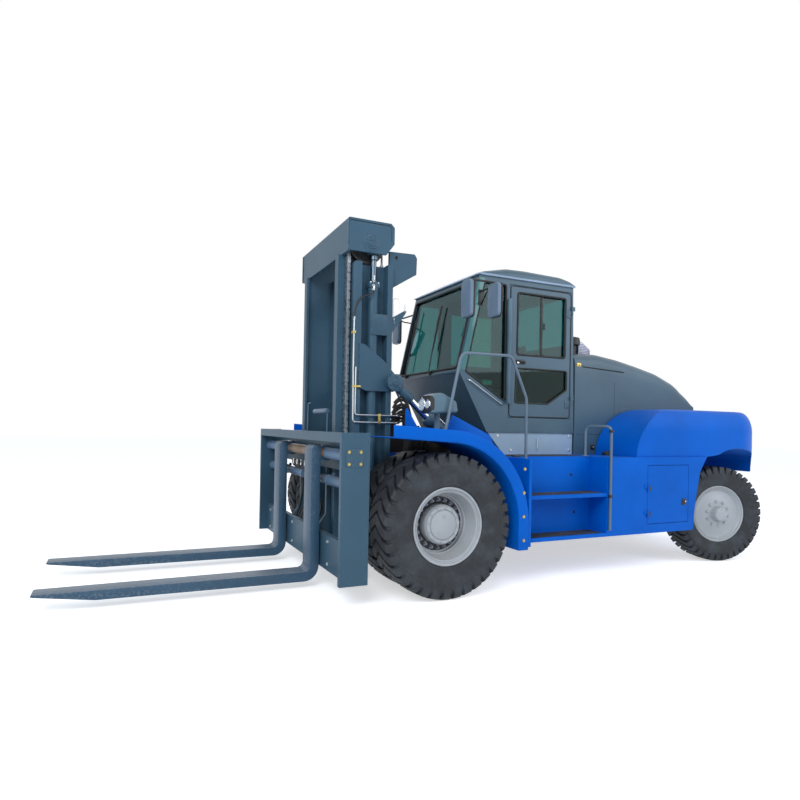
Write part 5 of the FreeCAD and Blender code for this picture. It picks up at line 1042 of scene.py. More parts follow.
zinc = metal("bright_zinc_plated_steel", "d3d8da", 0.26, stain=0.12)
oiled_chrome = metal("chromed_rod_under_oil", "5f6f7c", 0.28, stain=0.35)
ram_x, ram_y = 1.275, 0.73
for side, hand in hands:
    centre = (ram_x, side * ram_y, 0)
    turn(grown, [
        (0, 0.35), (0.046, 0.35), (0.054, 0.362), (0.054, 0.42), (0.059, 0.424), (0.059, 0.45), (0.054, 0.454),
        (0.054, 3.06), (0.0585, 3.064), (0.0585, 3.09), (0.054, 3.094), (0.054, 3.15), (0.048, 3.168),
        (0.036, 3.17), (0.036, 3.16)], centre, (0, 0, 1), 48)
    block(grown, (ram_x - 0.058, side * (ram_y - 0.05), 3.096), (ram_x + 0.06, side * (ram_y + 0.052), 3.146), 0.004)
    barrel = piece("lift_ram_barrel_" + hand, "mast_outer", mast_slate, grown)
    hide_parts("lift_cylinders")

    turn(grown, [(0, 0.46), (0.032, 0.46), (0.032, 3.38), (0.028, 3.384), (0.028, 3.392), (0.042, 3.394),
                 (0.042, 3.44), (0.038, 3.445), (0, 3.445)], centre, (0, 0, 1), 40)
    rod = piece("lift_ram_rod_" + hand, "mast_inner", oiled_chrome, grown)
    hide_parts("lift_rods")

    for dx, dy in ((-0.044, -0.036), (0.046, -0.036), (-0.044, 0.038), (0.046, 0.038)):
        bolt(grown, (ram_x + dx, side * (ram_y + dy), 3.145), (0, 0, 1), 0.016, 0.012)
    for z, rise in ((3.11, -0.055), (3.16, 0.05)):
        tube(grown, [(ram_x + 0.02, side * (ram_y + 0.035), z), (ram_x + 0.022, side * (ram_y + 0.082), z),
                     (ram_x + 0.03, side * (ram_y + 0.084), z + rise)], 0.011, 0.022, 14)
        turn(grown, [(0, 0), (0.017, 0), (0.017, 0.018), (0, 0.018)], (ram_x + 0.021, side * (ram_y + 0.05), z),
             (0, side, 0), 6)
        turn(grown, [(0, -0.01), (0.016, -0.01), (0.016, 0.01), (0, 0.01)],
             (ram_x + 0.029, side * (ram_y + 0.084), z + rise * 0.8), (0, 0, 1), 6)
    piece("lift_ram_fittings_" + hand, "mast_outer", zinc, grown)

    curl = [(ram_x + 0.03, side * (ram_y + 0.084), 3.06), (ram_x + 0.06, side * (ram_y + 0.08), 3.01),
            (ram_x + 0.13, side * (ram_y + 0.072), 2.985), (ram_x + 0.19, side * (ram_y + 0.066), 2.93),
            (ram_x + 0.228, side * (ram_y + 0.066), 2.84), (ram_x + 0.236, side * (ram_y + 0.066), 2.745)]
    tube(grown, flowing(curl, 6), 0.0085, sides=12)
    piece("lift_ram_hose_" + hand, "mast_outer", slots["black_plastic"], grown)


# ---------------------------------------------------------------- mast fittings
# The mast's profiles are rolled, welded and sprayed. Welded on are the boss of the sheave pin, a bolted
# eight-sided keeper on each tilt pin, the hose bracket, and two bright oil pipes down the left channel.

beam_face = 0.81
tilt_pin_x, tilt_pin_z = 1.07, 2.1
hole_x, hole_z = 1.01, 3.455                          # the hole for lifting the mast
pipe_heights = (1.682, 1.757)                         # where the oil pipes turn to the frame
for side, hand in hands:
    turn(grown, [
        (0.098, beam_face - 0.001), (0.098, beam_face + 0.003), (0.094, beam_face + 0.005),
        (0.074, beam_face + 0.005),
        (0.071, beam_face + 0.012), (0.064, beam_face + 0.014), (0.058, beam_face + 0.01), (0.05, beam_face + 0.009),
        (0.048, beam_face + 0.015), (0.04, beam_face + 0.0165), (0.018, beam_face + 0.0165),
        (0.015, beam_face + 0.011),
        (0, beam_face + 0.011)], (sheave_x, 0, sheave_z), (0, side, 0), 56)
    for dx, dz in ring_of(3, 0.03, 0.6):
        bolt(grown, (sheave_x + dx, side * (beam_face + 0.016), sheave_z + dz), (0, side, 0), 0.012, 0.006, False)
    block(grown, (1.588, side * 0.78, 3.45), (1.592, side * 0.808, 3.772), 0.0015)
    plate(grown, [(1.574, 3.757), (1.578, 3.762), (1.118, 3.762), (1.1, 3.745), (1.1, 3.738), (1.122, 3.757)], "y",
          side * (beam_face - 0.001), side * (beam_face + 0.003), 0.001)
    piece("beam_boss_and_bead_" + hand, "mast_inner", mast_slate, grown)

    # Painted shade: a flat black strip on the beam's end plate stands for the shade inside a recessed groove.
    plate(grown, [(1.574, 3.748), (1.574, 3.754), (1.12, 3.754), (1.104, 3.738), (1.104, 3.6), (1.109, 3.6),
                  (1.109, 3.735), (1.123, 3.748)], "y", side * (beam_face - 0.001), side * (beam_face + 0.0006), 0.0)
    piece("beam_end_painted_groove_shade_" + hand, "mast_inner", shadow_black, grown)

    turn(grown, [(0.018, 0.7345), (0.018, 0.7365), (0.024, 0.7375), (0.026, 0.7355), (0.026, 0.7345)],
         (hole_x, 0, hole_z), (0, side, 0), 28, True)
    for z0, z1 in ((2.6, 2.82), (1.02, 1.2)):
        plate(grown, [(1.128, z0), (1.31, z0), (1.31, z1 - 0.02), (1.29, z1), (1.128, z1)], "y", side * 0.7855,
              side * 0.7915, 0.002)
    piece("mast_side_plates_" + hand, "mast_outer", mast_slate, grown)
    # Painted shade: a flat black disc inside the ring stands for the dark inside of the lifting hole.
    turn(grown, [(0, 0.734), (0.0185, 0.734), (0.0185, 0.736), (0, 0.736)], (hole_x, 0, hole_z), (0, side, 0), 28)
    piece("mast_lifting_hole_painted_shade_" + hand, "mast_outer", shadow_black, grown)

    plate(grown, arc(tilt_pin_x, tilt_pin_z, 0.098, [22.5 + 45 * k for k in range(8)]), "y", side * 0.8935,
          side * 0.9045, 0.003)
    turn(grown, [(0.036, 0.904), (0.036, 0.91), (0.032, 0.913), (0, 0.913)], (tilt_pin_x, 0, tilt_pin_z),
         (0, side, 0), 32)
    for dx, dz in ring_of(3, 0.066, math.radians(100)):
        bolt(grown, (tilt_pin_x + dx, side * 0.904, tilt_pin_z + dz), (0, side, 0), 0.02, 0.011)
    piece("tilt_pin_keeper_" + hand, "mast_outer", mast_slate, grown)

    for z in (0.6, 1.1, 1.9, 2.55, 3.02):
        turn(grown, [(0, 0.595), (0.02, 0.595), (0.02, 0.599), (0.016, 0.601), (0, 0.601)], (1.255, 0, z),
             (0, side, 0),
             16)
    for x, z in ((1.1, 0.4), (1.1, 3.19), (1.1, 1.6)):
        for y in (0.3, 0.52):
            bolt(grown, (1.0695, side * y, z), (-1, 0, 0), 0.024, 0.012)
    piece("mast_bolts_" + hand, "mast_outer", zinc, grown)

arm = bmesh.new()
plate(arm, [(1.068, 2.8), (0.925, 2.885), (0.905, 2.876), (0.922, 2.842), (1.068, 2.64)], "y", 0.781, 0.789, 0.0)
arm_slot = bmesh.new()
plate(arm_slot,
      arc(1.046, 2.762 + 0.02, 0.009, range(0, 180, 30)) + arc(1.046, 2.762 - 0.02, 0.009, range(180, 360, 30)),
      "y", 0.76, 0.81, 0.0)
piece("hose_bracket_arm", "mast_outer", mast_slate, carved(arm, [arm_slot]))
tube(grown, [(1.06, 0.786, 2.8), (1.062, 0.786, 3.003), (0.986, 0.786, 3.003), (0.984, 0.786, 2.862)], 0.0045, 0.024,
     8)
tube(grown, [(0.93, 0.786, 2.872), (0.93, 0.806, 2.905), (0.935, 0.806, 2.94)], 0.004, 0.012, 8)
piece("hose_bracket_loop", "mast_outer", zinc, grown)

pipe_front, pipe_side = 1.507, 0.806
tube(grown, [(pipe_front, 0.795, 2.745), (pipe_front, 0.79, 2.3), (pipe_front, pipe_side, pipe_heights[0]),
             (0.99, pipe_side, pipe_heights[0])], 0.0075, 0.035, 12)
tube(grown, [(pipe_front - 0.022, pipe_side, 2.25), (pipe_front - 0.022, pipe_side, pipe_heights[1]),
             (0.99, pipe_side, pipe_heights[1])],
     0.0075, 0.03, 12)
turn(grown, [(0, 0), (0.0125, 0), (0.0125, 0.028), (0.009, 0.036), (0, 0.036)], (pipe_front, 0.795, 2.735), (0, 0, 1),
     6)
for z in pipe_heights:
    turn(grown, [(0, -0.016), (0.014, -0.016), (0.014, 0.016), (0, 0.016)], (0.996, pipe_side, z), (1, 0, 0), 6)
piece("mast_oil_pipes", "mast_outer", zinc, grown)
block(grown, (1.488, 0.742, 2.596), (1.52, 0.806, 2.622), 0.003)
block(grown, (1.2, 0.788, 1.668), (1.226, 0.82, 1.772), 0.003)
block(grown, (1.43, 0.788, 2.04), (1.52, 0.818, 2.06), 0.003)
for z in (1.7, 1.742):
    turn(grown, [(0.008, 0.818), (0.008, 0.826), (0, 0.826)], (1.213, 0, z), (0, 1, 0), 6)
piece("mast_pipe_clamps", "mast_outer", yellow_zinc, grown)


# ---------------------------------------------------------------- carriage
# The fork carriage is a welded frame sprayed slate. Its shaft is a turned bar, rusty where the forks'
# eyes slide; each end is closed by a rounded cap plate with four yellow zinc bolts.

def banded_bar(name, paint, rust):
    """Bar with a worn paint film between rusty rings where the forks slide, by distance from its middle."""
    made, tree, shader, place = shaded(name)
    grit = add(tree, "TexNoise", {"Scale": 24.0, "Detail": 7.0, "Roughness": 0.65}, {"Vector": place})
    split = add(tree, "SeparateXYZ", None, {0: place})
    distance = add(tree, "Math", {"operation": "ABSOLUTE"}, {0: split.outputs["Y"]})
    wander = add(tree, "Math", {"operation": "MULTIPLY_ADD", 1: 0.06},
                 {0: grit.outputs["Fac"], 2: distance.outputs[0]})
    bands = add(tree, "ValToRGB", None, {0: wander.outputs[0]})
    ramp = bands.color_ramp
    ramp.elements[0].position = 0.0
    ramp.elements[0].color = srgb(rust)
    for place_at, code in ((0.26, "8a7a66"), (0.46, rust), (0.5, "6e6f70"), (0.76, rust), (0.83, rust),
                           (0.87, paint)):
        ramp.elements.new(place_at).color = srgb(code)
    ramp.elements[-1].position = 1.0
    ramp.elements[-1].color = srgb(paint)
    rough = add(tree, "MapRange", {"To Min": 0.3, "To Max": 0.75}, {"Value": grit.outputs["Fac"]})
    bump = add(tree, "Bump", {"Strength": 0.3, "Distance": 0.0008}, {"Height": grit.outputs["Fac"]})
    joined(tree, shader, bands, rough, bump)
    return made


shaft_rust = banded_bar("turned_bar_painted_and_rusted", "5b7896", "7a5a3c")
shaft_x, shaft_z = 1.77, 1.365
turn(grown, [(0, -1.52), (0.055, -1.52), (0.055, 1.52), (0, 1.52)], (shaft_x, 0, shaft_z), (0, 1, 0), 48)
for side in (1, -1):
    turn(grown, [(0.055, 1.496), (0.066, 1.498), (0.066, 1.519), (0.055, 1.52)], (shaft_x, 0, shaft_z), (0, side, 0),
         48, True)
shaft = piece("fork_shaft_turned", "carriage", shaft_rust, grown)
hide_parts("fork_shaft")

ram_blue = painted("worn_slate_enamel_sprayed", "56738e", 0.38, dust=0.14, wear=0.5, edge=0.004)
for side, hand in hands:
    turn(grown, [
        (0, 0.06), (0.047, 0.06), (0.05, 0.066), (0.05, 0.1), (0.046, 0.106), (0.046, 0.76), (0.052, 0.766),
        (0.055, 0.772), (0.055, 0.816), (0.05, 0.822), (0.05, 1.44), (0.055, 1.446), (0.055, 1.516), (0.05, 1.52),
        (0, 1.52)], (1.74, 0, 1.09), (0, side, 0), 44)
    block(grown, (1.69, side * 0.78, 1.13), (1.716, side * 0.812, 1.162), 0.003)
    ram = piece("fork_positioner_" + hand, "carriage", ram_blue, grown)
    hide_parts("positioners")

    cap = []
    for corner_x, corner_z, start in ((1.848, 1.415, 0), (1.722, 1.415, 90), (1.722, 1.295, 180),
                                      (1.848, 1.295, 270)):
        cap += arc(corner_x, corner_z, 0.022, [start + 22.5 * k for k in range(5)])
    plate(grown, cap, "y", side * 1.566, side * 1.573, 0.002)
    piece("carriage_cap_plate_" + hand, "carriage", mast_slate, grown)
    for dx in (-0.056, 0.056):
        for dz in (-0.054, 0.054):
            bolt(grown, (1.785 + dx, side * 1.5725, 1.355 + dz), (0, side, 0), 0.02, 0.013)
    piece("carriage_cap_bolts_" + hand, "carriage", yellow_zinc, grown)

tube(grown, [(1.66, -0.452, 1.492), (1.66, -0.446, 1.23), (1.655, -0.38, 1.2)], 0.012, 0.03, 12)
tube(grown, [(1.66, -0.24, 1.492), (1.66, -0.236, 1.235), (1.655, -0.17, 1.205)], 0.012, 0.03, 12)
tube(grown, [(1.6, 0.285, 1.8), (1.602, 0.285, 1.56)], 0.009)
tube(grown, [(1.6, -0.33, 1.905), (1.6, -0.42, 1.905), (1.602, -0.43, 1.56)], 0.009, 0.02)
turn(grown,
     [(0, -0.16), (0.024, -0.158), (0.032, -0.146), (0.032, 0.262), (0.024, 0.268), (0.024, 0.296), (0, 0.298)],
     (1.6, 0, 1.8), (0, 1, 0), 28)
piece("carriage_pipes", "carriage", ram_blue, grown)

random.seed(17)
for k in range(9):
    y0, y1 = -0.4 + 0.085 * k, -0.42 + 0.095 * ((k * 4) % 9)
    sway = random.uniform(-0.03, 0.03)
    hose = [(1.785, y0, 1.235), (1.775, y0 + sway, 1.17), (1.69, (y0 + y1) / 2 + sway, 1.12 - 0.01 * k),
            (1.65, (y0 + y1) / 2 - sway, 0.95), (1.665, y1 - sway, 0.8 - 0.015 * k), (1.7, y1, 0.64),
            (1.73, y1, 0.56)]
    tube(grown, flowing(hose, 5), 0.0105, sides=10)
piece("carriage_hoses", "carriage", slots["black_plastic"], grown)
for k in range(5):
    spot = Vector((1.783, -0.36 + 0.15 * k, 1.215))
    turn(grown, [(0, -0.03), (0.015, -0.03), (0.015, -0.006), (0.012, 0.0), (0.012, 0.03), (0, 0.03)], spot,
         (0, 0, 1), 6)
for side in (1, -1):
    for y in (0.3, 0.95, 1.35):
        bolt(grown, (1.8045, side * y, 0.5), (1, 0, 0), 0.026, 0.014)
        bolt(grown, (1.8045, side * y, 0.28), (1, 0, 0), 0.026, 0.014)
piece("carriage_hose_ends", "carriage", zinc, grown)


# ---------------------------------------------------------------- forks
# Each fork is one forged bar bent at the heel, tapered to its tip, with an eye that hangs on the shaft.
# The slate paint is scraped to grey steel along the top of the blade and at the heel.

fork_slate = painted("slate_paint_scraped_to_steel", "36566e", 0.4, dust=0.2, wear=0.35, edge=0.006,
                     dust_code="8f9498", gloss=0.4)
fork_top, fork_face, fork_back, fork_tip = 0.165, 1.92, 1.825, 4.36
fork_taper_from, fork_taper = 3.95, 0.16              # where a blade starts to narrow, and how much it does
for side, hand in hands:
    low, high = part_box("fork_" + hand)
    profile = [(fork_face, 1.405), (1.89, 1.44), (1.825, 1.45)]
    profile += arc(shaft_x, shaft_z, 0.084, range(56, 305, 12))
    profile += [(fork_back, 1.285)]
    profile += arc(1.975, 0.22, 0.15, range(180, 271, 9))
    profile += [(3.86, 0.082), (fork_tip - 0.03, 0.143), (fork_tip, 0.15), (fork_tip, 0.158),
                (fork_tip - 0.01, fork_top)]
    profile += arc(1.985, 0.23, 0.065, range(270, 179, -10))
    plate(grown, profile, "y", low.y, high.y, 0.005, 2)
    for vert in grown.verts:
        past = max(0.0, vert.co.x - fork_taper_from) / (fork_tip - fork_taper_from)
        middle = (low.y + high.y) / 2
        vert.co.y = middle + (vert.co.y - middle) * (1.0 - fork_taper * past * past)
    fork = piece("forged_fork_" + hand, "fork_" + hand, fork_slate, grown, 25.0)
    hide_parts("fork_" + hand)


# ---------------------------------------------------------------- tilt cylinders
# The two tilt rams lie beside the cab, from pins on the frame to pins on the mast: slate barrels with
# screwed gland nuts, chromed rods, and forged eyes with lubricated bushes.

frame_pin, mast_pin = Vector((0.02, 0, 1.19)), Vector((tilt_pin_x, 0, tilt_pin_z))
for side, hand in hands:
    foot = frame_pin + Vector((0, side * 0.85, 0))
    head = mast_pin + Vector((0, side * 0.85, 0))
    lean = (head - foot).normalized()
    turn(grown, [
        (0, 0.056), (0.058, 0.056), (0.07, 0.072), (0.0735, 0.08), (0.0735, 0.776), (0.079, 0.782), (0.08, 0.83),
        (0.0735, 0.842), (0.066, 0.856), (0.044, 0.86), (0.042, 0.852), (0.042, 0.84)], foot, lean, 48)
    turn(grown, [(0.041, -0.04), (0.07, -0.04), (0.074, -0.036), (0.074, 0.036), (0.07, 0.04), (0.041, 0.04)],
         foot, (0, 1, 0), 40, True)
    barrel = piece("tilt_ram_barrel_" + hand, "tilt_barrel_" + hand, mast_slate, grown)
    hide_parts("tilt_barrel_" + hand)

    upward = Vector((-lean.z, 0, lean.x))
    for along in (0.13, 0.74):
        port = foot + lean * along + upward * 0.07
        turn(grown, [(0, 0), (0.018, 0), (0.018, 0.014), (0.012, 0.016), (0.012, 0.026), (0, 0.026)], port, upward, 6)
    tube(grown, [foot + lean * 0.13 + upward * 0.092, foot + lean * 0.165 + upward * 0.094,
                 foot + lean * 0.7 + upward * 0.094, foot + lean * 0.74 + upward * 0.092], 0.0075, 0.0, 12)
    piece("tilt_ram_pipe_" + hand, "tilt_barrel_" + hand, zinc, grown)

    reach = (head - foot).length
    turn(grown, [(0, 0.5), (0.039, 0.5), (0.039, reach - 0.265), (0, reach - 0.265)], foot, lean, 40)
    rod = piece("tilt_ram_rod_" + hand, "tilt_rod_" + hand, slots["chrome"], grown)
    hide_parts("tilt_rod_" + hand)
    turn(grown, [(0.0415, -0.04), (0.074, -0.04), (0.079, -0.034), (0.079, 0.034), (0.074, 0.04), (0.0415, 0.04)],
         head, (0, 1, 0), 44, True)
    turn(grown, [(0, reach - 0.27), (0.05, reach - 0.27), (0.056, reach - 0.258), (0.056, reach - 0.18),
                 (0.044, reach - 0.12), (0.044, reach - 0.072), (0, reach - 0.072)], foot, lean, 36)
    piece("tilt_ram_eye_" + hand, "tilt_rod_" + hand, mast_slate, grown)


# ---------------------------------------------------------------- cab windows
# Tinted safety glass in black rubber: a leaning windscreen, a quarter light beside it, and a sliding
# pair over a fixed pane in the near door. All of them are tinted, so the cab looks dark green inside.

front_glass = safety_glass("pale_teal_safety_glass_float", "86c4cc")
rubber = moulded("black_window_rubber_extruded", "121416", 0.6, dust=0.06)
pane_mid, pane_half, wall_face = 0.749, 0.004, 0.77
screen_low, screen_high = Vector((0.21, 0, 2.325)), Vector((-0.014, 0, 3.33))
screen_in = Vector((-0.977, 0, -0.213)) * 0.02
quarter = [(0.135, 2.285), (-0.105, 3.32), (-0.405, 3.32), (-0.405, 1.96)]
upper_light = [(-0.575, 2.52), (-0.575, 3.25), (-1.295, 3.25), (-1.295, 2.52)]
lower_light = [(-0.555, 1.95), (-0.565, 2.36), (-1.325, 2.36), (-1.325, 2.13), (-1.035, 1.95)]


def pane_between(grown, low, high, y0, y1, thick=0.008):
    """A flat pane leaning from a low edge to a high edge, across from y0 to y1."""
    inward = (high - low).normalized().cross(Vector((0, 1, 0))).normalized() * thick / 2
    corners = [[grown.verts.new(Vector((p.x, y, p.z)) + inward * s) for p, y in
                ((low, y0), (low, y1), (high, y1), (high, y0))] for s in (-1, 1)]
    grown.faces.new(corners[0])
    grown.faces.new(corners[1][::-1])
    for k in range(4):
        n = (k + 1) % 4
        grown.faces.new((corners[0][n], corners[0][k], corners[1][k], corners[1][n]))


def seal(grown, outline, y, radius=0.011):
    """A rubber bead round a window in a side wall."""
    tube(grown, [(x, y, z) for x, z in outline], radius, 0.03, 8, True)


pane_between(grown, screen_low + screen_in, screen_high + screen_in, -0.71, 0.71)
screen = piece("windscreen_pane", "chassis", front_glass, grown)
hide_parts("cab_glass")
block(grown, (-1.425, -0.64, 2.7), (-1.417, 0.64, 3.31), 0.001)
rear_pane = piece("rear_window_pane", "chassis", front_glass, grown)
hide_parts("cab_glass")
tube(grown, [screen_low + Vector((0.006, -0.712, 0)), screen_low + Vector((0.006, 0.712, 0)),
             screen_high + Vector((0.006, 0.712, 0)), screen_high + Vector((0.006, -0.712, 0))], 0.013, 0.05, 8, True)
tube(grown, [(-1.447, -0.642, 2.698), (-1.447, 0.642, 2.698), (-1.447, 0.642, 3.312), (-1.447, -0.642, 3.312)], 0.011,
     0.05,
     8, True)
for side in (1, -1):
    seal(grown, quarter, side * wall_face)
for corner in (upper_light, lower_light):
    seal(grown, corner, -wall_face)
piece("cab_window_rubber", "chassis", rubber, grown)
for side, hand in hands:
    plate(grown, quarter, "y", side * (pane_mid - pane_half), side * (pane_mid + pane_half), 0.0)
    if side < 0:
        for corner in (upper_light, lower_light):
            plate(grown, corner, "y", side * (pane_mid - pane_half), side * (pane_mid + pane_half), 0.0)
    side_pane = piece("cab_side_panes_" + hand, "chassis", slots["glass"], grown)
    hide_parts("cab_glass")

slide_x = -0.935
plate(grown, [(-0.575, 2.52), (-0.575, 3.25), (slide_x - 0.02, 3.25), (slide_x - 0.02, 2.52)], "y", 0.753, 0.758, 0.0)
plate(grown, [(slide_x + 0.02, 2.52), (slide_x + 0.02, 3.25), (-1.295, 3.25), (-1.295, 2.52)], "y", 0.741, 0.746, 0.0)
plate(grown, lower_light, "y", pane_mid - pane_half, pane_mid + pane_half, 0.0)
door_panes = piece("door_panes", "cab_door", slots["glass"], grown)
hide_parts("door_glass")
seal(grown, upper_light, wall_face + 0.001, 0.012)
seal(grown, lower_light, wall_face + 0.001, 0.01)
block(grown, (slide_x - 0.016, 0.738, 2.52), (slide_x + 0.016, 0.762, 3.25), 0.002)
block(grown, (slide_x - 0.05, 0.758, 2.84), (slide_x - 0.03, 0.768, 2.92), 0.003)
piece("door_window_rubber", "cab_door", rubber, grown)


# ---------------------------------------------------------------- cab door fittings
# The door is a pressed frame with a rubber edge. It hangs on two forged hinges at its rear edge and has
# a black latch grip with a chromed lock; a long round handle stands on the pillar before it.

tube(grown,
     [(-0.472, wall_face, 1.788), (-0.472, wall_face, 3.322), (-1.378, wall_face, 3.322), (-1.378, wall_face, 1.788)],
     0.006, 0.045, 8, True)
piece("cab_door_edge_rubber", "cab_door", rubber, grown)

block(grown, (-0.56, 0.769, 2.408), (-0.69, 0.781, 2.458), 0.005)
tube(grown, [(-0.585, 0.778, 2.44), (-0.585, 0.806, 2.44), (-0.672, 0.806, 2.43), (-0.672, 0.778, 2.43)], 0.009,
     0.015, 10)
piece("door_latch_grip", "cab_door", slots["black_plastic"], grown)
turn(grown, [(0.014, 0.781), (0.014, 0.79), (0.01, 0.794), (0, 0.794)], (-0.58, 0, 2.424), (0, 1, 0), 18)
piece("door_lock", "cab_door", slots["chrome"], grown)

for z in (1.95, 3.06):
    block(grown, (-1.375, 0.769, z - 0.045), (-1.3, 0.777, z + 0.045), 0.003)
    for dz in (-0.028, 0.028):
        bolt(grown, (-1.33, 0.776, z + dz), (0, 1, 0), 0.014, 0.007)
piece("cab_door_hinge_leaves", "cab_door", graphite, grown)

bonded_glass = moulded("teal_glass_bonded_over_steel", "3f7a7a", 0.12, grain=90.0, depth=0.0, dust=0.05)
for side, hand in hands:
    pillar_x = -0.435
    stem = [(0.0, 1.93), (0.018, 1.934), (0.027, 1.95), (0.027, 3.11), (0.024, 3.14), (0.016, 3.158), (0.0, 3.164)]
    turn(grown, stem, (pillar_x, side * 0.803, 0), (0, 0, 1), 32)
    for z in (2.02, 2.54, 3.06):
        block(grown, (pillar_x - 0.012, side * 0.766, z - 0.018), (pillar_x + 0.012, side * 0.8, z + 0.018), 0.003)
    piece("pillar_handle_" + hand, "chassis", lamp_grey, grown)

    plate(grown, [(0.214, 2.298), (-0.024, 3.368), (-0.1, 3.368), (-0.112, 3.33), (0.128, 2.298)], "y", side * 0.7695,
          side * 0.7745, 0.0015)
    piece("corner_glass_" + hand, "chassis", bonded_glass, grown)

    tube(grown, [(0.105, side * 0.772, 2.19), (0.09, side * 0.796, 2.182), (-0.35, side * 0.796, 1.925),
                 (-0.365, side * 0.772, 1.916)], 0.007, 0.016, 10)
    piece("quarter_light_bar_" + hand, "chassis", slots["chrome"], grown)


# ---------------------------------------------------------------- cab roof
# The roof is a pressed cap with rounded shoulders, sprayed with the cab. A drip rail runs round its
# foot, eight bolt caps hold it from above, and two wipers on single arms sweep the windscreen.

roof_low, roof_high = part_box("cab_roof")
roof_line = [(-0.014, 3.404), (-0.075, 3.462), (-0.43, 3.55), (-0.68, 3.56), (-1.23, 3.545), (-1.4, 3.495),
             (-1.42, 3.44)]


def roof_section(grown, x, foot):
    """One cross section of the roof cap, from its left foot over the crown to the right one."""
    crown = max(height_on(roof_line, x, 0.035), foot + 0.004)
    half, rise = roof_high.y, crown - foot
    outline = [(half, foot), (half, foot + 0.3 * rise)]
    for k in range(1, 9):
        turned = math.radians(90.0 * k / 8)
        outline.append((half - 0.125 + 0.125 * math.cos(turned), foot + rise * (0.3 + 0.56 * math.sin(turned))))
    outline += [(half * 0.55, foot + rise * 0.955), (half * 0.25, crown)]
    outline += [(-y, z) for y, z in reversed(outline)]
    return [grown.verts.new((x, y, z)) for y, z in outline]


rows = [roof_section(grown, roof_line[0][0] + (roof_low.x - roof_line[0][0]) * k / 56, roof_low.z) for k in range(57)]
skin(grown, rows, True, True)
roof = piece("cab_roof_cap", "chassis", graphite, grown, 42.0)
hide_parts("cab_roof")

for side in (1, -1):
    plate(grown, [(-0.03, 3.396), (-0.03, 3.412), (-1.425, 3.412), (-1.425, 3.396)], "y", side * 0.77, side * 0.792,
          0.003)
    plate(grown, [(-0.03, 3.412), (-0.03, 3.42), (-1.425, 3.42), (-1.425, 3.412)], "y", side * 0.788, side * 0.792,
          0.001)
plate(grown, [(-0.782, 3.396), (0.782, 3.396), (0.782, 3.412), (-0.782, 3.412)], "x", -0.022, -0.004, 0.003)
piece("roof_drip_rail", "chassis", plinth_grey, grown)

for x, y in ((-0.52, 0.64), (-0.8, 0.645), (-1.02, 0.645), (-1.22, 0.64)):
    for side in (1, -1):
        spot = Vector((x, side * y, 3.4 + (height_on(roof_line, x, 0.035) - 3.4) * 0.905))
        turn(grown, [(0.017, -0.012), (0.017, 0.003), (0.012, 0.008), (0, 0.009)], spot, (0, side * 0.35, 1), 16)
piece("roof_bolt_caps", "chassis", zinc, grown)

lean = (screen_high - screen_low).normalized()
out = Vector((0.977, 0, 0.213))
for y0, y1, reach in ((-0.52, -0.56, 0.78), (0.12, 0.06, 0.74)):
    root = screen_low + out * 0.016 + Vector((0, y0, -0.03))
    turn(grown, [(0, -0.012), (0.022, -0.012), (0.022, 0.014), (0.014, 0.022), (0, 0.022)], root, out, 18)
    tip = root + lean * reach + out * 0.022 + Vector((0, y1 - y0, 0))
    tube(grown, [root + out * 0.018, root + lean * 0.06 + out * 0.03, tip], 0.0075, 0.02, 8)
    blade = [root + lean * (reach * 0.42) + out * 0.012 + Vector((0, y1 - y0 + 0.012, 0)),
             root + lean * (reach * 1.18) + out * 0.012 + Vector((0, y1 - y0 + 0.012, 0))]
    tube(grown, blade, 0.01, 0.0, 6)
    for t in (0.62, 0.8, 0.98):
        tube(grown, [root + lean * (reach * t) + out * 0.012 + Vector((0, y1 - y0 + 0.012, 0)),
                     root + lean * (reach * (t + 0.03)) + out * 0.026 + Vector((0, y1 - y0, 0))], 0.005, 0.0, 6)
piece("windscreen_wipers", "chassis", slots["black_plastic"], grown)

block(grown, (0.15, -0.7, 2.268), (0.226, 0.7, 2.292), 0.004)
piece("screen_sill", "chassis", graphite, grown)


# ---------------------------------------------------------------- seat and controls
# A sprung seat in woven charcoal cloth, its cushions foam under a sewn cover, stands on a black bellows.
# The column carries a binnacle and a soft-rimmed wheel with a knob; short levers stand on a side console.

def pad(name, centre, half, lean_angle, material, channels):
    """A stuffed cushion: crowned faces, sides drawn in between full corners, sewn channels across its face."""
    grown = bmesh.new()
    steps_u, steps_v = 28, 28
    turned = Matrix.Rotation(lean_angle, 3, "Y")
    sheets = []
    for face_side in (1, -1):
        rows = []
        for i in range(steps_u + 1):
            row = []
            for j in range(steps_v + 1):
                u, v = 2 * i / steps_u - 1, 2 * j / steps_v - 1
                x = half[0] * math.copysign(abs(u) ** 0.9, u) * (1 - 0.035 * (1 - v * v))
                y = half[1] * math.copysign(abs(v) ** 0.9, v) * (1 - 0.035 * (1 - u * u))
                edge_share = (1 - u ** 6) * (1 - v ** 6)
                crown = half[2] * (0.22 + 0.78 * edge_share ** 0.45)
                if face_side > 0:
                    for line in channels:
                        crown -= 0.01 * math.exp(-((u - line) / 0.05) ** 2) * edge_share
                    crown -= 0.006 * math.exp(-((abs(v) - 0.62) / 0.05) ** 2) * edge_share
                row.append(grown.verts.new(Vector(centre) + turned @ Vector((x, y, face_side * crown))))
            rows.append(row)
        sheets.append(rows)
        skin(grown, rows, False)
    skin(grown, [rows[0] + [row[-1] for row in rows[1:]] + rows[-1][-2::-1] + [row[0] for row in rows[-2:0:-1]]
                 for rows in sheets])
    made = piece(name, "chassis", material, grown, 80.0)
    return made


cushion = pad("seat_cushion", (-0.895, 0, 2.045), (0.245, 0.245, 0.062), 0.0, cloth, (-0.35, 0.15))
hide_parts("seat")
backrest = pad("seat_backrest", (-1.14, 0, 2.42), (0.305, 0.235, 0.055), math.radians(-82.4), cloth, (-0.3, 0.1, 0.5))
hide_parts("seat")

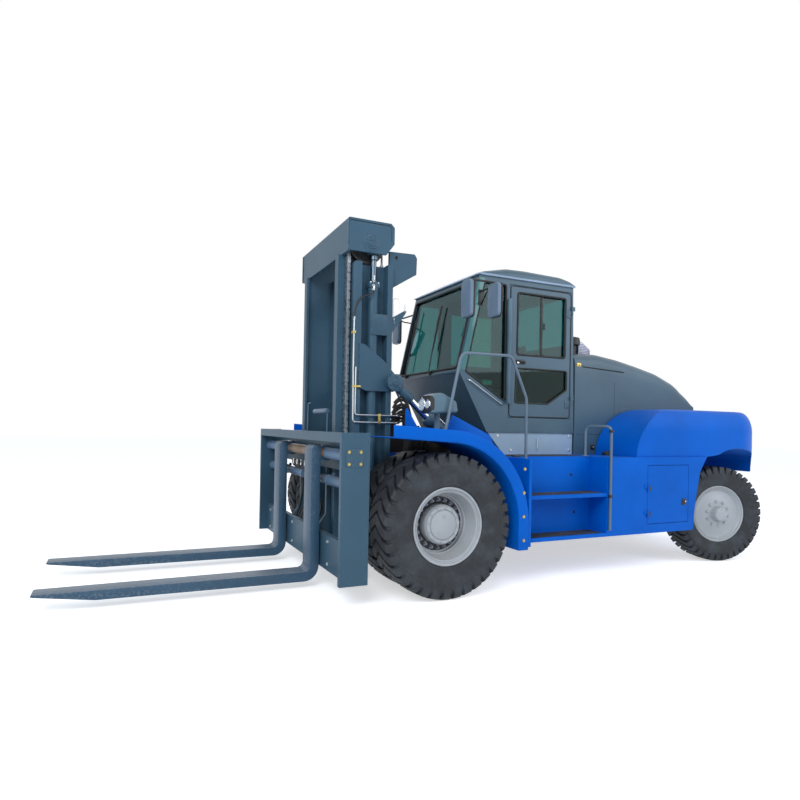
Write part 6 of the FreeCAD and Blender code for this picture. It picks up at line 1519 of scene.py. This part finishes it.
for k in range(6):
    z = 1.652 + 0.052 * k
    flare = 0.012 if k % 2 else 0.0
    block(grown, (-1.075 + flare, -0.185 + flare, z), (-0.745 - flare, 0.185 - flare, z + 0.05), 0.01)
block(grown, (-1.12, -0.235, 1.962), (-0.67, 0.235, 1.985), 0.008)
for side in (1, -1):
    block(grown, (-1.08, side * 0.262, 2.19), (-0.76, side * 0.315, 2.235), 0.018)
    tube(grown, [(-1.14, side * 0.245, 2.17), (-1.11, side * 0.288, 2.2), (-0.98, side * 0.288, 2.205)], 0.014, 0.03,
         10)
pedestal = piece("seat_pedestal", "chassis", slots["black_plastic"], grown)
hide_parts("seat")

plate(grown, [(-0.38, 1.65), (-0.24, 1.65), (-0.28, 2.21), (-0.4, 2.18)], "y", -0.088, 0.088, 0.016, 3)
plate(grown, [(-0.25, 2.15), (-0.2, 2.3), (-0.215, 2.33), (-0.3, 2.24), (-0.32, 2.18)], "y", -0.19, 0.19, 0.014, 3)
console = piece("steering_column", "chassis", slots["black_plastic"], grown)
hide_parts("console")
wheel_axis = Vector((-0.447, 0, 0.894))
hub = Vector((-0.345, 0, 2.21)) + wheel_axis * 0.075
turn(grown, [(0, -0.07), (0.022, -0.07), (0.022, -0.01), (0.045, 0.0), (0.045, 0.016), (0.03, 0.026), (0, 0.028)],
     hub,
     wheel_axis, 32)
turn(grown, arc(0.2, 0.01, 0.0145, range(0, 360, 30)), hub, wheel_axis, 60, True)
across = Vector((0, 1, 0))
along = wheel_axis.cross(across)
for angle in (90, 210, 330):
    spoke = across * math.cos(math.radians(angle)) + along * math.sin(math.radians(angle))
    tube(grown, [hub + spoke * 0.035 + wheel_axis * 0.008, hub + spoke * 0.19 + wheel_axis * 0.01], 0.009, 0.0, 8)
knob = hub + across * -0.15 + along * 0.125 + wheel_axis * 0.02
turn(grown, [(0, 0), (0.01, 0), (0.01, 0.02), (0.022, 0.03), (0.024, 0.046), (0.016, 0.058), (0, 0.06)], knob,
     wheel_axis, 20)
wheel = piece("steering_wheel", "chassis", slots["black_plastic"], grown)
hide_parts("console")
for y in (0.06, 0.11, 0.16, 0.21):
    tube(grown, [(-0.6, -0.4 - y * 0.3, 2.02), (-0.585, -0.4 - y * 0.3, 2.15), (-0.56, -0.4 - y * 0.3, 2.235)], 0.006,
         0.05, 8)
    turn(grown, [(0, 0), (0.01, 0.004), (0.017, 0.02), (0.012, 0.038), (0, 0.042)], (-0.56, -0.4 - y * 0.3, 2.228),
         (0.25, 0, 1), 14)
plate(grown, [(-0.9, 1.652), (-0.48, 1.652), (-0.48, 1.98), (-0.52, 2.03), (-0.86, 2.03), (-0.9, 1.98)], "y", -0.36,
      -0.5,
      0.012, 2)
piece("control_levers", "chassis", slots["black_plastic"], grown)


# ---------------------------------------------------------------- mirrors
# Two mirrors stand on a bent black tube at each front corner of the cab: moulded black shells with rounded corners,
# painted grey-blue for the sky's reflection on them, a black rubber rim and flat silvered glass on the side that
# faces the driver.

def rounded(low, high, corner, steps=5):
    """A rectangle outline with round corners, between two corners given as pairs."""
    outline = []
    for a, b, start in ((high[0], high[1], 0), (low[0], high[1], 90), (low[0], low[1], 180), (high[0], low[1], 270)):
        a += -corner if start in (0, 270) else corner
        b += -corner if start in (0, 90) else corner
        outline += arc(a, b, corner, [start + 90 * k / steps for k in range(steps + 1)])
    return outline


# Painted reflection: the shells are black plastic, coloured grey-blue to stand for the sky mirrored on them; the pale
# patches are dust.
shell_sky_reflection_grey = moulded("black_mirror_shell_painted_sky_reflection", "63788d", 0.42, grain=500.0, depth=0.0003, dust=0.1,
                     dust_code="9aa6b2")
mirror_silver = metal("silvered_mirror_glass", "e6eaec", 0.04, stain=0.02)
heads = ((0.35, 0.41, 1.08, 1.27, 2.8, 3.2), (0.02, 0.08, 1.09, 1.29, 2.83, 3.2))
for side, hand in hands:
    shells, rims, glasses, arms = bmesh.new(), bmesh.new(), bmesh.new(), bmesh.new()
    for x0, x1, y0, y1, z0, z1 in heads:
        ends = sorted((side * y0, side * y1))
        plate(shells, rounded((ends[0] + 0.004, z0 + 0.004), (ends[1] - 0.004, z1 - 0.004), 0.045), "x", x0 + 0.016,
              x1, 0.016, 4)
        plate(rims, rounded((ends[0], z0), (ends[1], z1), 0.048), "x", x0 + 0.002, x0 + 0.022, 0.004)
        plate(glasses, rounded((ends[0] + 0.012, z0 + 0.012), (ends[1] - 0.012, z1 - 0.012), 0.038), "x", x0,
              x0 + 0.004, 0.0)
    tube(arms, [(-0.035, side * 0.772, 3.2), (-0.035, side * 1.18, 3.206), (0.385, side * 1.18, 3.206),
                (0.388, side * 1.18, 3.15)], 0.012, 0.045, 10)
    tube(arms, [(-0.06, side * 0.772, 3.06), (0.04, side * 1.0, 3.12), (0.05, side * 1.185, 3.206)], 0.009, 0.04, 10)
    block(arms, (-0.075, side * 0.768, 3.04), (-0.015, side * 0.78, 3.225), 0.004)
    shell = piece("mirror_shells_" + hand, "chassis", shell_sky_reflection_grey, shells)
    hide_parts("mirrors")
    piece("mirror_rims_" + hand, "chassis", rubber, rims)
    piece("mirror_glass_" + hand, "chassis", mirror_silver, glasses)
    piece("mirror_arms_" + hand, "chassis", slots["black_plastic"], arms)


# ---------------------------------------------------------------- headlights
# A pressed grey pod on a post over each front fender holds two round lamps in a black bezel: each a
# clear acrylic lens over a cluster of seven reflectors, in a bright ring.

lens = moulded("clear_lamp_acrylic_moulded", "c9d3d8", 0.1, grain=700.0, depth=0.0002, dust=0.06)
stalk_x, stalk_y, lamp_z = 0.82, 1.335, 1.866
pod = [(0.966, 1.772), (0.948, 1.958), (0.838, 1.984), (0.672, 1.9), (0.652, 1.792)]
for side, hand in hands:
    plate(grown, pod, "y", side * 1.241, side * 1.472, 0.026, 5)
    turn(grown, [(0, 1.512), (0.06, 1.512), (0.06, 1.518), (0.034, 1.524), (0.028, 1.53), (0.028, 1.8), (0, 1.8)],
         (stalk_x, side * stalk_y, 0), (0, 0, 1), 28)
    for dx, dy in ring_of(4, 0.046, 0.8):
        bolt(grown, (stalk_x + dx, side * stalk_y + dy, 1.517), (0, 0, 1), 0.013, 0.008, False)
    for x in (0.74, 0.86):
        turn(grown, [(0.009, 0), (0.009, 0.003), (0, 0.004)], (x, side * 1.472, 1.88), (0, side, 0), 12)
    lamp_pod = piece("headlight_pod_" + hand, "chassis", lamp_grey, grown)
    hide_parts("headlights")
    ends = sorted((side * 1.234, side * 1.478))
    plate(grown, rounded((ends[0], 1.786), (ends[1], 1.952), 0.05), "x", 0.93, 0.971, 0.006, 3)
    piece("headlight_bezel_" + hand, "chassis", slots["black_plastic"], grown)
    bright, clear = bmesh.new(), bmesh.new()
    for y, rim in ((1.308, 0.066), (1.424, 0.046)):
        spot = (0, side * y, lamp_z)
        turn(bright, [(rim - 0.006, 0.968), (rim, 0.968), (rim, 0.98), (rim - 0.003, 0.984), (rim - 0.007, 0.98)],
             spot, (1, 0, 0), 36, True)
        turn(clear, [(rim - 0.006, 0.969), (rim - 0.006, 0.973), (0, 0.974)], spot, (1, 0, 0), 36)
        for dy, dz in [(0.0, 0.0)] + ring_of(6, rim * 0.56, 0.52):
            turn(clear, [(rim * 0.25, 0.972), (rim * 0.22, 0.979), (rim * 0.12, 0.983), (0, 0.984)],
                 (0, side * y + dy, lamp_z + dz), (1, 0, 0), 14)
    piece("headlight_rings_" + hand, "chassis", slots["chrome"], bright)
    piece("headlight_lenses_" + hand, "chassis", lens, clear)


# ---------------------------------------------------------------- front hoses
# Rubber hoses with crimped zinc ends bring oil from the frame's valve to the mast's pipes. They bow
# between the two, because the mast tilts, and pass beside a blue bracket by the tilt ram.

hose_rubber = moulded("black_hose_rubber_wrapped", "15171a", 0.78, grain=300.0, depth=0.0006, dust=0.16,
                      dust_code="6f675c")
random.seed(5)
for k in range(7):
    y, sway = 0.7 + 0.022 * k, random.uniform(-0.02, 0.02)
    hose = [(1.052, y, 1.56 + 0.055 * k), (0.995 + sway, y + 0.03, 1.66 + 0.05 * k),
            (0.925, y + 0.05, 1.73 + 0.03 * k + sway),
            (0.87 + sway, y + 0.04, 1.64), (0.845, y, 1.5 + sway), (0.835 + sway, y - 0.03, 1.38),
            (0.82, y - 0.06, 1.29)]
    tube(grown, flowing(hose, 5), 0.0155, sides=10)
for z in pipe_heights:
    hose = [(0.995, pipe_side, z), (0.935, 0.812, z + 0.02), (0.88, 0.83, z - 0.05), (0.84, 0.86, 1.6),
            (0.79, 0.88, 1.52),
            (0.72, 0.86, 1.44), (0.7, 0.78, 1.31)]
    tube(grown, flowing(hose, 5), 0.013, sides=10)
tilt_hoses = piece("mast_supply_hoses", None, hose_rubber, grown)
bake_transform(tilt_hoses)
for k in range(12):
    y, z, sway = 0.8 + 0.014 * k, 1.515 + 0.012 * (k % 4), random.uniform(-0.02, 0.02)
    hose = [(0.76 - 0.01 * k, y, 1.3), (0.745 + sway, y, 1.44), (0.69, y + 0.02, z + 0.03),
            (0.56 + sway, y + 0.05, z + 0.05 + sway),
            (0.44, y + 0.06, z), (0.33, y + 0.02, z - 0.06), (0.3, y - 0.02, 1.33)]
    tube(grown, flowing(hose, 5), 0.0125, sides=10)
piece("front_hose_bundle", "chassis", hose_rubber, grown)
plate(grown, [(0.955, 1.84), (0.975, 1.82), (0.975, 1.56), (0.9, 1.508), (0.8, 1.508), (0.8, 1.6)], "y", 0.942, 0.95,
      0.002)
block(grown, (0.8, 0.942, 1.5), (0.96, 1.0, 1.509), 0.002)
block(grown, (0.48, 0.945, 1.486), (0.52, 1.03, 1.494), 0.002)
piece("hose_bracket_blue", "chassis", body_blue, grown)
for k in range(4):
    turn(grown, [(0, -0.022), (0.019, -0.022), (0.019, 0.004), (0.016, 0.008), (0.016, 0.026), (0, 0.026)],
         (0.76 - 0.02 * k, 0.8 + 0.036 * k, 1.345), (0, 0, 1), 6)
block(grown, (0.47, 0.945, 1.56), (0.5, 1.03, 1.572), 0.003)
piece("front_hose_ends", "chassis", zinc, grown)


# ---------------------------------------------------------------- splash plates
# A folded steel plate stands on the frame's side inside each front fender and keeps mud off the
# hoses. It is painted black and holds dried brown mud.

muddy_steel = painted("black_paint_under_dried_mud", "2a2622", 0.75, dust=0.55, wear=0.1, dust_code="6b5a3e")
for side, hand in hands:
    plate(grown, [(0.79, 1.296), (0.8, 1.44), (0.76, 1.6), (0.2, 1.66), (-0.06, 1.66), (-0.06, 1.296)], "y",
          side * 0.655, side * 0.661, 0.002)
    block(grown, (-0.06, min(side * 0.661, side * 0.76), 1.298), (0.79, max(side * 0.661, side * 0.76), 1.304), 0.001)
    for x in (0.1, 0.32, 0.54):
        block(grown, (x, min(side * 0.66, side * 0.74), 1.303),
              (x + 0.05, max(side * 0.66, side * 0.74), 1.38 + 0.1 * (x > 0.2)), 0.008)
    piece("splash_plate_" + hand, "chassis", muddy_steel, grown)


# ---------------------------------------------------------------- plinth and deck fittings
# Four zinc screws hold the pale plinth under the cab, with a round pull handle in its middle; a black
# catch lies on the deck's edge, and a round black cap with a knob stands on the deck by the bay.

ring_x = -0.905                                       # the pull handle
filler_x, filler_y = -1.8, 0.98
for side, hand in hands:
    for x, z in ((-0.33, 1.56), (-1.4, 1.56), (-0.52, 1.39), (-1.4, 1.39)):
        bolt(grown, (x, side * 0.7495, z), (0, side, 0), 0.024, 0.012)
    tube(grown, [(ring_x, side * 0.748, 1.53), (ring_x, side * 0.765, 1.53), (ring_x, side * 0.765, 1.4),
                 (ring_x, side * 0.748, 1.4)], 0.005, 0.012, 8)
    piece("plinth_screws_" + hand, "chassis", zinc, grown)
    block(grown, (-0.33, side * 1.15, deck_top - 0.001), (-0.225, side * 1.196, deck_top + 0.016), 0.004)
    turn(grown, [(0, 0), (0.06, 0), (0.06, 0.03), (0.054, 0.038), (0, 0.04)], (filler_x, side * filler_y, deck_top),
         (0, 0, 1), 12)
    turn(grown, [(0, 0), (0.024, 0), (0.02, 0.014), (0, 0.016)], (filler_x, side * filler_y, deck_top + 0.039),
         (0, 0, 1), 16)
    piece("deck_catch_and_cap_" + hand, "chassis", slots["black_plastic"], grown)


# ---------------------------------------------------------------- air cleaner and exhaust
# Behind the cab a black rain cap stands on the air cleaner's neck, and a cover of bright perforated
# sheet, bent and riveted, keeps hands off the exhaust's outlet; its holes are black discs of painted shade.

cleaner_x, cleaner_y = -1.62, 0.52
turn(grown, [
    (0, 2.611), (0.062, 2.611), (0.062, 2.624), (0.055, 2.63), (0.055, 2.69), (0.06, 2.694), (0.06, 2.708),
    (0.055, 2.712),
    (0.055, 2.728), (0.104, 2.731), (0.109, 2.738), (0.109, 2.792), (0.104, 2.8), (0.104, 2.806), (0.106, 2.81),
    (0.098, 2.826), (0.06, 2.837), (0.018, 2.839), (0.016, 2.841), (0, 2.841)], (cleaner_x, cleaner_y, 0), (0, 0, 1),
    44)
for dx, dy in ring_of(20, 0.107):
    spot = Vector((cleaner_x + dx, cleaner_y + dy, 2.766))
    block(grown, spot + Vector((-0.0025, -0.0025, -0.022)), spot + Vector((0.0025, 0.0025, 0.022)), 0.0)
cap = piece("air_cleaner_cap", "hood", slots["black_plastic"], grown)
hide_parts("air_cleaner")

cover = [(-1.78, 2.607), (-1.78, 2.79), (-1.788, 2.799), (-1.84, 2.799), (-1.975, 2.708), (-1.98, 2.698),
         (-1.98, 2.607)]
plate(grown, cover, "y", 0.3, 0.48, 0.006, 3)
for y in (0.302, 0.478):
    for x in (-1.8, -1.95):
        turn(grown, [(0.006, 0), (0.005, 0.003), (0, 0.004)], (x, y, 2.625), (0, math.copysign(1, y - 0.39), 0), 10)
guard = piece("exhaust_cover", "hood", slots["exhaust_steel"], grown)
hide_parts("exhaust")
# Painted shade: black discs on the cover's faces and slope stand for the dark seen through its holes.
for row in range(7):
    for k in range(11):
        x = -1.796 - 0.0165 * k - 0.008 * (row % 2)
        z = 2.64 + 0.021 * row
        if z < 2.782 - max(0.0, -1.845 - x) * 0.72:
            for y, face in ((0.4805, 1), (0.2995, -1)):
                turn(grown, [(0.0052, -0.001), (0.0052, 0.0006), (0, 0.0006)], (x, y, z), (0, face, 0), 8)
slope = Vector((-1.975, 0, 2.708)) - Vector((-1.84, 0, 2.799))
for row in range(7):
    for k in range(8):
        spot = Vector((-1.84, 0.318 + 0.0205 * k, 2.7995)) + slope * (0.08 + 0.14 * row)
        turn(grown, [(0.0052, -0.001), (0.0052, 0.0008), (0, 0.0008)], spot, (-0.56, 0, 0.83), 8)
piece("exhaust_cover_painted_hole_shade", "hood", shadow_black, grown)
